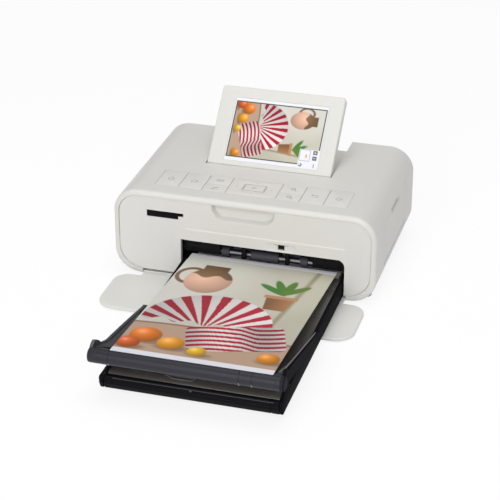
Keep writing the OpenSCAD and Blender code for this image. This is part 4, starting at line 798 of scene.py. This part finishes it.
def screenBezel():
    # outer and window loops carried round one closed profile, rounded outside and chamfered at the window
    s, r, face = screen, screen["round"], screen["face"]
    outer = roundRect(s["left"], s["right"], s["chin"], s["back"], r, s["backRound"], steps=5)
    inner = roundRect(s["windowLeft"], s["windowRight"], s["windowFront"], s["windowBack"], 0.4, steps=5)
    rings = [standing(outer, s["seam"] + 0.15, "z"), standing(outer, face - r, "z")]
    rings += [standing(shrunk(outer, r * (1 - math.cos(a))), face - r * (1 - math.sin(a)), "z")
              for a in (0.4, 0.8, 1.2, math.pi / 2)]
    rings += [standing(shrunk(inner, -0.35), face, "z"), standing(inner, face - 0.3, "z"),
              standing(inner, s["seam"] + 0.15, "z")]
    return ringSolid(rings, closed=True)


def screenShell():
    # the back half with soft lower edges, the barrel along its front edge and the tongue between them
    s, r = screen, screen["barrel"]
    loop = roundRect(s["left"], s["right"], s["front"], s["back"], s["round"], s["backRound"], steps=5)
    shell = softPrism(loop, s["under"], s["seam"], 1.3, 0.1)
    profile = [(s["left"], r - 0.4), (s["left"] + 0.4, r), (s["right"] - 0.4, r), (s["right"], r - 0.4)]
    barrel = turned(profile, (s["pinY"], s["pinZ"]), "x", 40)
    web = softBox(s["left"], s["right"], s["pinY"], s["front"] + 1, s["under"] + 0.6, s["seam"], 0.2)
    return joined(shell, barrel, web)


piece("screenBezel", moved(screenBezel(), tilted), screenPlastic, "screen", ["screen_frame"])
piece("screenShell", moved(screenShell(), tilted), screenPlastic, "screen", ["screen_back"])
piece("hingeLip", softBox(*screen["lip"], 0.25), shellPlastic, "casing")


def paintOver(base, distance, edge, tint, strength=1.0):
    # the tint covers the base inside a shape, whose signed distance is negative inside, and fades over a soft edge
    mask = strength * np.clip(0.5 - distance / edge, 0, 1)[:, None]
    return base * (1 - mask) + np.asarray(tint, float) * mask


tints = dict(pole=(0.30, 0.25, 0.15), table=(0.50, 0.34, 0.24), tableEdge=(0.27, 0.15, 0.09),
             handle=(0.20, 0.11, 0.05), clay=(0.83, 0.50, 0.36), glaze=(0.23, 0.13, 0.06),
             parasolRed=(0.47, 0.004, 0.030), parasolPale=(0.80, 0.76, 0.74), clothRed=(0.50, 0.005, 0.035),
             clothPale=(0.82, 0.78, 0.76), pot=(0.42, 0.19, 0.08), potRim=(0.50, 0.26, 0.12),
             shadow=(0.12, 0.06, 0.03))
garden = dict(horizon=0.36, jugX=0.24, jugY=1.12, parasolX=0.42, parasolY=0.50, clothX=0.66, clothY=0.33, potX=0.76,
              leaves=(-0.95, -0.4, 0.15, 0.7))
fruit = [(0.13, 0.22, 0.10, (0.86, 0.22, 0.01)), (0.31, 0.15, 0.085, (0.92, 0.38, 0.01)),
         (0.06, 0.09, 0.075, (0.74, 0.13, 0.01)), (0.49, 0.09, 0.06, (0.88, 0.52, 0.02)),
         (0.92, 0.13, 0.07, (0.85, 0.30, 0.01))]     # place across and up, radius and colour


def gardenPicture(u, v, edge):
    # a still life in the unit frame, u to the right and v up: striped parasol and cloth, jug, fruit, pot, leaves
    t, g, y = tints, garden, v * 1.48
    wall = np.stack([0.70 - 0.14 * u, 0.685 - 0.15 * u, 0.63 - 0.21 * u], -1) * (0.84 + 0.16 * smooth(y))[:, None]
    colour = wall + 0.018 * np.sin(11 * u + 3 * np.sin(4 * y))[:, None]
    colour = paintOver(colour, np.abs(u - 0.84 - 0.10 * (y - 0.9)) - 0.016, 0.02, t["pole"], 0.8)
    table = y - g["horizon"] - 0.05 * np.sin(3 * u + 0.5)
    colour = paintOver(colour, table, edge, t["table"])
    colour = paintOver(colour, np.abs(table) - 0.010, edge, t["tableEdge"])

    # jug: an ellipse with a neck, a dark glaze that runs down from its rim, and a ring for a handle
    jx, jy = u - g["jugX"], y - g["jugY"]
    handle = np.abs(np.hypot((jx + 0.13) / 0.09, (jy - 0.05) / 0.12) - 1) * 0.09 - 0.014
    colour = paintOver(colour, handle, edge, t["handle"])
    neck = np.maximum(np.abs(jx) - 0.085, np.abs(jy - 0.17) - 0.08) / 0.15
    body = np.minimum(np.hypot(jx / 0.155, jy / 0.20) - 1, neck) * 0.15
    light = (0.55 + 0.62 * np.clip(1 - np.hypot(jx + 0.05, jy - 0.04) / 0.24, 0, 1))[:, None]
    glaze = smooth((jy - 0.06 - 0.025 * np.sin(38 * jx)) / 0.02)[:, None]
    skin = (1 - glaze) * np.array(t["clay"]) + glaze * np.array(t["glaze"])
    colour = paintOver(colour, body, edge, light * skin)

    # parasol: a half disc whose stripes fan out from its tip, with a scalloped hem
    px, py = u - g["parasolX"], y - g["parasolY"]
    dome = np.maximum(np.hypot(px, py) - 0.41, -py - 0.03 - 0.025 * np.cos(34 * px))
    fan = np.sin(np.arctan2(px, py + 0.12) * 24 + 1.5 * np.hypot(px, py)) > 0
    shade = (0.66 + 0.42 * smooth((px + 0.45) * 1.2) - 0.12 * smooth(4 * py - 0.9))[:, None]
    colour = paintOver(colour, dome, edge, np.where(fan[:, None], t["parasolRed"], t["parasolPale"]) * shade)

    # folded cloth: a turned rounded rectangle with wavy bands that bunch together at a fold
    cx, cy = u - g["clothX"], y - g["clothY"]
    along, over = cx * 0.95 + cy * 0.30, cy * 0.95 - cx * 0.30
    wave = np.sin(105 * over + 2.6 * np.sin(9 * along) + 5 * smooth((along - 0.02) * 8)) > 0
    fold = (0.78 + 0.22 * np.cos(13 * along + 1))[:, None]
    cloth = boxDistance(along, over, 0, 0, 0.30, 0.17, 0.05)
    colour = paintOver(colour, cloth, edge, np.where(wave[:, None], t["clothRed"], t["clothPale"]) * fold)

    # clay pot with leaves above it
    for angle in g["leaves"]:
        sine, cosine = math.sin(angle), math.cos(angle)
        lx, ly = u - g["potX"] - 0.10 * sine, y - 1.05 - 0.12 * cosine
        leaf = (np.hypot((lx * sine + ly * cosine) / 0.12, (lx * cosine - ly * sine) / 0.03) - 1) * 0.03
        colour = paintOver(colour, leaf, edge, (0.09 + 0.04 * angle, 0.22, 0.03))
    pot = np.maximum(np.abs(u - g["potX"]) - 0.08 - 0.12 * (y - 0.90), np.abs(y - 0.91) - 0.10)
    side = (0.5 + 0.7 * smooth((u - g["potX"] + 0.10) * 4))[:, None]
    colour = paintOver(colour, pot, edge, side * np.array([t["pot"]]))
    colour = paintOver(colour, boxDistance(u, y, g["potX"], 1.01, 0.11, 0.022, 0.01), edge, t["potRim"])

    # fruit: lit balls with a soft shadow below each
    for fx, fy, r, tint in fruit:
        under = np.hypot((u - fx - 0.02) / 1.2, (y - fy + r * 0.7) / 0.5) - r
        colour = paintOver(colour, under, 0.05, t["shadow"], 0.6)
        glow = np.clip(1 - np.hypot(u - fx + r * 0.35, y - fy - r * 0.4) / (1.5 * r), 0, 1)[:, None]
        lit = np.array(tint) * (0.4 + 0.8 * glow) + 0.25 * glow ** 6
        colour = paintOver(colour, np.hypot(u - fx, y - fy) - r, edge, lit)
    return np.clip(colour, 0, 1)


def displayPlate():
    # a fine grid over the window for the picture and the menu marks, closed by a plate below it
    s, gap = screen, 0.06
    x, y = np.meshgrid(np.linspace(s["windowLeft"] + gap, s["windowRight"] - gap, 265),
                       np.linspace(s["windowFront"] + gap, s["windowBack"] - gap, 187), indexing="ij")
    level = np.full(x.shape, s["face"] - 0.35)
    return sheetSolid(np.stack([x, y, level], -1), np.stack([x, y, level - 2.0], -1))


def displayPaint(points):
    # white menu strips round a dark outlined picture that lies on its side, with a menu block in one corner
    s = screen
    x, y = points[:, 0] - s["windowLeft"], points[:, 1] - s["windowFront"]
    wide, tall = s["windowRight"] - s["windowLeft"], s["windowBack"] - s["windowFront"]
    picture = gardenPicture(1 - (y - 2.6) / (tall - 4.6), (x - 1.0) / (wide - 2.0), 0.012)
    right, ground = wide - x, (0.86, 0.87, 0.92)
    rim = boxDistance(x, y, wide / 2, tall / 2 + 0.2, wide / 2 - 0.7, tall / 2 - 2.4, 0.1)
    colour = paintOver(np.broadcast_to(np.array(ground), picture.shape), rim, 0.2, (0.045, 0.045, 0.04))
    colour = paintOver(colour, rim + 0.75, 0.2, picture)

    # the menu block: a white ground, an outlined frame with a slider in it, two icons, a moon and a tick
    colour = paintOver(colour, boxDistance(right, y, 7.2, 6.9, 7.3, 7.2, 0.2), 0.2, ground)
    frameLine = np.abs(boxDistance(right, y, 10.4, 9.7, 3.5, 4.0, 0.2)) - 0.15
    colour = paintOver(colour, frameLine, 0.2, (0.25, 0.27, 0.40))
    colour = paintOver(colour, boxDistance(right, y, 9.4, 9.2, 0.5, 1.3, 0.3), 0.3, (0.85, 0.35, 0.05))
    for up, bars in ((12.2, ((0.75, 0.25), (0.25, 0.75))), (8.1, ((0.75, 0.25),))):
        colour = paintOver(colour, boxDistance(right, y, 3.4, up, 1.5, 1.5, 0.2), 0.25, (0.16, 0.16, 0.18))
        plus = np.min([boxDistance(right, y, 3.4, up, *half, 0.1) for half in bars], 0)
        colour = paintOver(colour, plus, 0.2, (0.7, 0.7, 0.72))
    colour = paintOver(colour, np.hypot(right - 12.6, y - 2.6) - 1.3, 0.3, (0.10, 0.11, 0.22))
    colour = paintOver(colour, np.hypot(right - 12.9, y - 2.9) - 0.8, 0.3, (0.8, 0.82, 0.9))
    return paintOver(colour, boxDistance(right, y, 3.2, 2.7, 0.25, 1.3, 0.1), 0.25, (0.12, 0.13, 0.2))


plate = displayPlate()
piece("displayPlate", moved(plate, tilted), displayGlass, "screen", ["display_panel"],
      paint=displayPaint(plate[0]))

sheetPrint = dict(left=-36.3, width=100.0, length=158.4, rear=3.9, rearZ=19.9, slope=5.272, thick=0.3, strip=5.4)


def sloped(points):
    # from print coordinates (across, forwards, up): y falls and z rises along the slope
    a = math.radians(sheetPrint["slope"])
    return np.stack([points[:, 0], sheetPrint["rear"] - points[:, 1] * math.cos(a) + points[:, 2] * math.sin(a),
                     sheetPrint["rearZ"] + points[:, 1] * math.sin(a) + points[:, 2] * math.cos(a)], -1)


def printSheet():
    # a fine flat grid with a plain underside
    p = sheetPrint
    x, y = np.meshgrid(np.linspace(0, p["width"], 201), np.linspace(0, p["length"], 317), indexing="ij")
    lift = 0 * x + p["thick"]
    return sheetSolid(np.stack([x + p["left"], y, lift], -1), np.stack([x + p["left"], y, lift * 0], -1))


def printPaint(points):
    # the picture, with bare paper at both ends and underneath
    p = sheetPrint
    x, y = points[:, 0] - p["left"], points[:, 1]
    colour = gardenPicture(x / p["width"], 1 - (y - p["strip"]) / (p["length"] - 2 * p["strip"]), 0.006)
    plain = (y < p["strip"]) | (y > p["length"] - p["strip"]) | (points[:, 2] < p["thick"] / 2)
    return np.where(plain[:, None], (0.80, 0.80, 0.86), colour)


sheetShape = printSheet()
piece("printedPhoto", moved(sheetShape, sloped), printGloss, "print", ["photo_print"],
      paint=printPaint(sheetShape[0]))
print("screen and pictures built")

cover = dict(half=86.4, rear=-5.5, front=-52.0, low=1.0, high=3.3, frontRound=13.0, rearRound=10.5, tongue=70.0,
             pinY=1.5, pinZ=2.5)


def frontCoverLeaf():
    # a thin slab with soft edges, a tongue to the hinge, its barrel and pins
    c = cover
    loop = roundRect(-c["half"], c["half"], c["front"], c["rear"], c["frontRound"], c["rearRound"], steps=12)
    slab = softPrism(loop, c["low"], c["high"], 0.4, 0.9)
    tongue = softBox(-c["tongue"], c["tongue"], c["rear"] - 3, c["pinY"] - 0.6, c["low"] + 0.3, c["high"] - 0.1,
                     0.4)
    barrel = turned([(-c["tongue"], 1.2), (c["tongue"], 1.2)], (c["pinY"], c["pinZ"]), "x", 24)
    pins = turned([(-c["tongue"] - 3, 0.6), (c["tongue"] + 3, 0.6)], (c["pinY"], c["pinZ"]), "x", 16)
    return joined(slab, tongue, barrel, pins)


piece("frontCoverLeaf", frontCoverLeaf(), coverPlastic, "cover", ["front_cover"])

tray = dict(barY=-154.0, barZ=28.2, gripZ=29.7, gripRound=4.75, left=-49.9, right=66.3, slope=9.7, thick=2.0,
            lift=4.2, wallLeft=-42.8, wallRight=68.7, wallTip=86.0, tipRound=4.3, grooves=(-36.2, 44.2, 51.9),
            clips=((205, 255), (196, 232), (196, 232)))
box = dict(left=-42.5, right=68.4, rear=32.0, front=-140.5, low=4.2, wall=2.0, top=16.0, floor=1.4, ear=4.0,
           capLeft=-46.1, grooves=(-41.9, 61.2))
nose = dict(top=14.0, floor=3.8, reach=-149.95, upperY=-148.0, upperRound=1.8, middle=(-147.0, 8.4), middleRound=2.7,
            lower=(-146.8, 5.5), lowerRound=1.7)     # the circles that the front bar's section follows
lid = dict(rear=3.4, low=14.4, top=15.8, middle=12.95, ribs=(-44, -26, 26, 44), ribTop=19.35, seamX=60.2,
           seamY=-50.5, padRound=0.8)
thumbPad = np.array([(-0.2, -145.6), (11.0, -145.6), (13.5, -142.4), (-6.5, -142.6)])
spring = dict(left=(-17.05, 34.95), middle=(-90, -10), width=8, half=14, low=5.62, rise=2.76, thick=0.4)


def noseEdge(top=nose["top"]):
    # the front bar's section: a flat top, a tight upper corner, a bulging front, a tight lower corner, a flat floor
    n, front = nose, box["front"]
    upper = arc((n["upperY"], top - n["upperRound"]), n["upperRound"], 90, 155, 6)
    middle, lower = arc(n["middle"], n["middleRound"], 150, 195, 5), arc(n["lower"], n["lowerRound"], 190, 270, 6)
    return np.concatenate([[(front, top)], upper, [(n["reach"], top / 2 + 3.4)], middle, lower,
                           [(front, n["floor"])]])


def cheekLoop():
    # the side plate's edge: rear, top, the web up to the bar, round it, back down to the nose and along the floor
    t, b = tray, box
    ear = arc((t["barY"], t["gripZ"]), 4.3, 0, 290, 20)
    rear = [(b["rear"], b["low"]), (b["rear"], b["top"]), (-130, b["top"]), (-131, b["top"] - 0.3)]
    return np.concatenate([rear, ear, [(-143.5, 17.0), (-146, 14.6)], shrunk(noseEdge(), 0.12)[1:-1],
                           [(-140, b["low"])]])


def frontBar():
    # the nose's section carried across, smaller where a groove runs round it, and an end cap that runs on backwards
    b = box
    left, right = -43.5, b["right"] - b["wall"] - 0.1
    stations = [(left, 1.3), (left + 0.3, 0.7), (left + 0.8, 0.2), (left + 1.3, 0.0)]
    for groove in b["grooves"]:
        stations += [(groove - 0.3, 0.0), (groove - 0.12, 0.4), (groove + 0.12, 0.4), (groove + 0.3, 0.0)]
    stations += [(right - 0.3, 0.0), (right, 0.3)]
    bar = ringSolid([standing(shrunk(noseEdge(), inset + tiny), x, "x") for x, inset in stations])
    capTop, capRear = nose["top"] - 1.2, -112
    cap = np.concatenate([[(capRear, capTop - 1.4), (capRear - 2, capTop)], noseEdge(capTop)[1:-1],
                          [(capRear, nose["floor"])]])
    return joined(bar, softPrism(cap, b["capLeft"], b["capLeft"] + 2.8, 1.1, 0.3, "x", 5))


def cassetteCase():
    # the floor, the rear sill, the front bar and the ledges of the lid
    b, low, x0, x1 = box, box["low"], box["left"] + 1, box["right"] - 1
    floor = softBox(x0, x1, -143, b["rear"] - 0.1, low + 0.01, low + b["floor"], 0.2)
    sill = softBox(x0, x1, b["rear"] - 2, b["rear"] - 0.05, low + 0.05, low + 5.4, 0.3)
    ledges = [softBox(x, x + 1.4, b["front"], lid["rear"], 13.1, 14.2, 0.2) for x in (x0 + 0.9, x1 - 2.3)]
    return joined(floor, sill, frontBar(), *ledges)


def barEars():
    # rings of the bar's own radius, one near each end, that stay with the cassette
    t, b, r = tray, box, tray["gripRound"] - 0.02
    spans = ((b["left"] - 0.12, b["left"] + b["ear"]), (t["right"] + 0.05, t["wallRight"] - 0.04))
    profiles = [[(low, r - 0.05), (low + 0.05, r), (high - 0.05, r), (high, r - 0.05)] for low, high in spans]
    return joined(*[turned(profile, (t["barY"], t["gripZ"])) for profile in profiles])


def smokyLid():
    # a thin plate with a drooping front lip, ribs that hold the print, a trapezoid thumb pad and a seam
    n, rear, top = lid, lid["rear"], lid["top"]
    x0, x1 = box["left"] + box["wall"] + 0.2, box["right"] - box["wall"] - 0.2
    side = np.array([(rear, n["low"]), (rear, top), (-145.8, top), (-147.4, 15.2), (-148.0, 14.35), (-147.6, 14.15),
                     (-146, 14.3)])
    rib = np.array([(-14, top - 0.2), (rear, top - 0.2), (rear, n["ribTop"]), (1.4, n["ribTop"] + 0.15)])
    middles = [n["middle"] + offset for offset in n["ribs"]]
    ribs = [softPrism(rib, x - 0.6, x + 0.6, 0.2, axis="x", steps=2) for x in middles]
    pad = softPrism(softCorners(thumbPad, n["padRound"]), top - 0.3, top + 0.35, 0.1, 0.3)
    seam = softBox(n["seamX"], x1, n["seamY"] - 0.4, n["seamY"] + 0.3, top - 0.2, top + 0.3, 0.15)
    return joined(softPrism(side, x0, x1, 0.12, axis="x", steps=2), *ribs, pad, seam)


def leafSprings():
    # four bowed strips under the lift plate: their height is a raised cosine over the way along Y
    s = spring
    wide, way = np.meshgrid(np.linspace(0, s["width"], 3), np.linspace(-s["half"], s["half"], 29), indexing="ij")
    height = s["low"] + s["rise"] * (0.5 + 0.5 * np.cos(math.pi * way / s["half"]))
    return joined(*[sheetSolid(*[np.stack([x + wide, y + way, height + up], -1) for up in (s["thick"], 0.0)])
                    for x in s["left"] for y in s["middle"]])


cheeks = [softPrism(cheekLoop(), x, x + box["wall"], 0.45, axis="x", steps=3)
          for x in (box["left"], box["right"] - box["wall"])]
# a light, glossy band round the thumb pad's outline that paints its bright edges as a highlight
thumbEdgeHighlight = strokeMark(softCorners(thumbPad, lid["padRound"]), 0.55, 16.1, 16.45, close=True)
piece("cassetteCase", cassetteCase(), blackPlastic, "cassette", ["cassette_case"])
piece("cassetteCheeks", joined(*cheeks), shadedSideBlack, "cassette", ["cassette_case"])
piece("barEars", barEars(), slatePlastic, "cassette", ["cassette_case"])
piece("smokyLid", smokyLid(), smokePlastic, "lid", ["inner_lid"])
piece("thumbEdgeHighlight", thumbEdgeHighlight, paintedGlint, "lid")
springs = piece("leafSprings", leafSprings(), shaftSteel, "cassette", ["lift_spring"])
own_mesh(springs)


def armPlaced(points):
    # arm coordinates (across, backwards from the bar, up), turned down by the slope about a line above the axis
    a = -math.radians(tray["slope"])
    return np.stack([points[:, 0], tray["barY"] + points[:, 1] * math.cos(a) - points[:, 2] * math.sin(a),
                     tray["barZ"] + tray["lift"] + points[:, 1] * math.sin(a) + points[:, 2] * math.cos(a)], -1)


# a wall's edges as heights over the distance from the bar, and then what differs between the two walls
wallEdge = dict(upperAt=(0, 4, 8, 23, 46, 64, 79, 82, 86), upperEnd=(-8.3, -8.7, -8.7), tipMiddle=-12.9,
                lowerAt=(4, 13, 26, 56, 78, 82, 86), lower=(-3, -3.4, -5.9, -12, -15.9, -17.2, -17.2))
leftWall = dict(outer=-2.0, flare=4.4, lugRound=4.8, rim=(6.0, 5.4, 4.5, 2.2, -1.8, -5.2))
rightWall = dict(outer=2.2, flare=0.0, lugRound=2.0, rim=(6.0, 5.9, 5.7, 3.3, -1.6, -5.6))


def armWall(inner, outer, flare, lugRound, rim):
    # a wall beside the cheek: its upper and lower edges are a disc, a lug and straight lines over the distance from
    # the bar, its tip is round, and near the bar it leans outwards by flare times 1 less a smooth step
    t, e, tip = tray, wallEdge, tray["wallTip"]
    v = np.r_[-4.45, -4.3, -3.9, -3.2, np.arange(-2.5, 30, 1.0), np.arange(30, 80, 2.5), 80, 81.5, 83, 84.2, 85.1,
              85.7, tip]
    rise, tipStart, middle = t["gripZ"] - t["barZ"], tip - t["tipRound"], e["tipMiddle"]
    disc = np.sqrt(np.maximum(4.5 ** 2 - v ** 2, 0.3))
    bulge = 8.3 - lugRound + np.sqrt(np.maximum(lugRound ** 2 - (v - 5) ** 2, 0))
    lug = np.where(abs(v - 5) < lugRound, bulge, -99)
    tipArc = np.sqrt(np.maximum(t["tipRound"] ** 2 - np.maximum(v - tipStart, 0) ** 2, 0.2))
    upper = np.interp(v, e["upperAt"], [*rim, *e["upperEnd"]])
    lower = np.interp(v, e["lowerAt"], e["lower"])
    top = np.where(v < 0, rise + disc, np.maximum(np.where(v > tipStart, middle + tipArc, upper), lug))
    bottom = np.where(v < 4, rise - disc, np.where(v > tipStart, middle - tipArc, lower))
    height = bottom[:, None] + (top - bottom)[:, None] * np.linspace(0, 1, 7)
    lean = -flare * (1 - smooth((v - 3) / 15))[:, None]
    return sheetSolid(*[np.stack(np.broadcast_arrays(x + lean, t["barY"] + v[:, None], t["barZ"] + height), -1)
                        for x in (inner + outer, inner)])


def trayBar():
    # the round bar in three lengths, between and beyond the rings, with domed ends and grooves
    t, b, r = tray, box, tray["gripRound"]
    dome = [(0.4 * r * (1 - math.cos(a)), r * (0.5 + 0.5 * math.sin(a))) for a in np.linspace(0, math.pi / 2, 7)]
    left = [(t["left"] + x, high) for x, high in dome] + [(b["left"] - 0.2, r), (b["left"] - 0.16, r - 0.05)]
    right = [(t["wallRight"], r - 0.05), (t["wallRight"] + 0.05, r)]
    right += [(t["wallRight"] + 2.9 - x, high) for x, high in dome[::-1]]
    middle = [(b["left"] + b["ear"] + 0.04, r - 0.05), (b["left"] + b["ear"] + 0.08, r)]
    for groove in t["grooves"]:
        middle += [(groove - 0.3, r), (groove - 0.15, r - 0.3), (groove + 0.15, r - 0.3), (groove + 0.3, r)]
    middle += [(t["right"] - 0.05, r), (t["right"], r - 0.05)]
    return [turned(profile, (t["barY"], t["gripZ"])) for profile in (left, middle, right)]


def trayPlates():
    # the flat plates that reach from the walls to the print, with a notch round the cheek at the left
    t = tray
    start, wall, earLeft, earRight = t["left"], t["wallLeft"], box["left"] - 0.2, box["left"] + box["ear"] + 0.1
    inner, outer = sheetPrint["left"] - 0.7, sheetPrint["left"] + sheetPrint["width"] + 0.7
    edge, far = t["right"] - 0.1, t["wallRight"] + 0.8
    left = [(start + 2.4, 1.0), (earLeft, 1.0), (earLeft, 6.0), (earRight, 6.0), (earRight, 1.0), (inner, 1.0),
            (inner, 50), (wall - 0.2, 72.5), (wall - 1, 72.5), (wall - 1, 17), (start + 4, 10), (start + 2.4, 6)]
    right = [(outer, 1.0), (edge, 1.0), (edge, 6.2), (far, 6.2), (far, 44), (far - 0.6, 44), (outer, 12)]
    return joined(*[moved(softPrism(softCorners(loop, rounding), -t["thick"] / 2, t["thick"] / 2, 0.5, steps=3),
                          armPlaced) for loop, rounding in ((left, 0.5), (right, 0.4))])


# sizes of light pieces that paint glints and highlights: lug ribs and bar clips that are real but drawn light, the
# right wall's highlight line, the front bar's highlight strip, and the latch
trim = dict(ribs=(-49, -48.3, -47.6), ribThick=0.22, clipThick=0.4, ridgeThick=0.4, beadThick=0.28,
            latch=(11.3, 12.9, -150.4, -149.0, 11.5, 13.1))
ridgeHighlightPath = [(66.4, -149.5, 34.3), (67.4, -146, 34.0), (68.4, -142, 33.5), (68.9, -131, 31.6), (69.0, -108, 26.7),
             (69.1, -90, 22.7), (69.2, -76, 19.9)]
highlightBeadPath = [(-37, -149.75, 12.75), (0, -149.8, 12.8), (63, -149.75, 12.75)]


def arcTube(x, centre, radius, start, end, thick):
    # a thin round wire that follows an arc across the bar's axis
    bend = arc(centre, radius, start, end, 8)
    return tube(np.c_[np.full(len(bend), x), bend], thick, 8)


def trayDetails():
    # fine ribs on the lug's front and clips across the bar's grooves, real details whose light grey paints their
    # glints, and a tube along the right wall's upper edge that paints its highlight line
    t, d = tray, trim
    ribs = [arcTube(x, (t["barY"] + 5, t["barZ"] + 2.3), 6.0, 80, 165, d["ribThick"]) for x in d["ribs"]]
    clips = [arcTube(x, (t["barY"], t["gripZ"]), t["gripRound"], start, end, d["clipThick"])
             for x, (start, end) in zip(t["grooves"], t["clips"])]
    return joined(*ribs, *clips, tube(ridgeHighlightPath, d["ridgeThick"], 10))


leftBar, middleBar, rightBar = trayBar()
# a light slate strip along the front bar's upper corner that paints its highlight line, and a small block that is a
# real latch drawn light as its glint
highlightBead = joined(tube(highlightBeadPath, trim["beadThick"], 10), softBox(*trim["latch"], 0.3))
# the frame is all one slate, drawn in copies that paint light and shade: lighter slate on the plates and left wall,
# darker slate on the bar's right end and black on the right wall
for name, shape, finish, bevel in (
        ("trayBar", joined(leftBar, middleBar), slatePlastic, 0), ("trayBarEnd", rightBar, shadedSideSlate, 0),
        ("trayPlates", trayPlates(), litSlateGrain, 0),
        ("trayWallLeft", armWall(tray["wallLeft"], **leftWall), litSlateGrain, 0.6),
        ("trayWallRight", armWall(tray["wallRight"], **rightWall), shadedSideBlack, 0.6)):
    piece(name, shape, finish, "tray", ["tray_frame"], bevel=bevel)
piece("trayDetails", trayDetails(), paintedGlint, "tray")
piece("barHighlightBead", highlightBead, litSlateGrain, "cassette")
print("cassette built")

studio = dict(floorReach=6.0, floorTint=(0.86, 0.86, 0.86), glow=1.05, glowShare=0.8, sky=0.33, aim=(0, 0, 0.03))
lamps = dict(keyLamp=((0.05, -1.7, 0.95), 1.5, 22.3), topLamp=((0.1, 0.1, 1.9), 1.4, 13.8),
             sideLamp=((1.5, -0.4, 0.8), 1.0, 0.5))     # place and width in metres, power in watts
camera = dict(place=(0.2888, -0.9548, 0.5577), aim=(-0.00066, 0.0410, 0.0196), lens=124.73, sensor=36.0)
white = (1, 1, 1)


def placed(name, data, place, aim=None):
    # an object of the scene at a place, turned so that its -Z looks at the aim where there is one
    made = bpy.data.objects.new(name, data)
    made.location = place
    if aim:
        made.rotation_euler = (Vector(aim) - Vector(place)).to_track_quat("-Z", "Y").to_euler()
    bpy.context.scene.collection.objects.link(made)
    return made


def stageFinish(name):
    # white to the camera and to mirrors, and plain white paint under the lamps, so that the shadow stays faint
    made = Finish(name, BaseColor=studio["floorTint"], Roughness=0.9, SpecularIORLevel=0.0)
    seen = made.node("LightPath", out="Is Camera Ray")
    seen = seen.maths("MAXIMUM", seen, made.node("LightPath", out="Is Glossy Ray"))
    glow = made.node("Emission", None, Color=white, Strength=studio["glow"])
    lit = Wire(made, made.shader.outputs[0])
    made.show(made.node("MixShader", None, seen * studio["glowShare"], lit, glow), "Material Output")
    return made


reach = studio["floorReach"]
floorMesh = bpy.data.meshes.new("floor")
corners = [(-reach, -reach, 0), (reach, -reach, 0), (reach, reach, 0), (-reach, reach, 0)]
floorMesh.from_pydata(corners, [], [(0, 1, 2, 3)])
floorMesh.materials.append(stageFinish("floorPaint").material)
floor = placed("floor", floorMesh, (0, 0, 0))

for name, (place, size, power) in lamps.items():
    light = bpy.data.lights.new(name, "AREA")
    light.size, light.energy = size, power
    placed(name, light, place, studio["aim"])

# the world is plain white to the camera, and dimmer where it lights the object
world = bpy.data.worlds.new("studio")
sky = Nodes(world)
dim = sky.node("Background", None, Color=white, Strength=studio["sky"])
sky.show(sky.node("MixShader", None, sky.node("LightPath", out="Is Camera Ray"), dim,
                  sky.node("Background", None, Color=white)), "World Output")
bpy.context.scene.world = world
bpy.context.scene.view_settings.view_transform = "Standard"

lens = bpy.data.cameras.new("camera")
lens.sensor_width, lens.lens = camera["sensor"], camera["lens"]
bpy.context.scene.camera = placed("camera", lens, camera["place"], camera["aim"])
print("stage set")
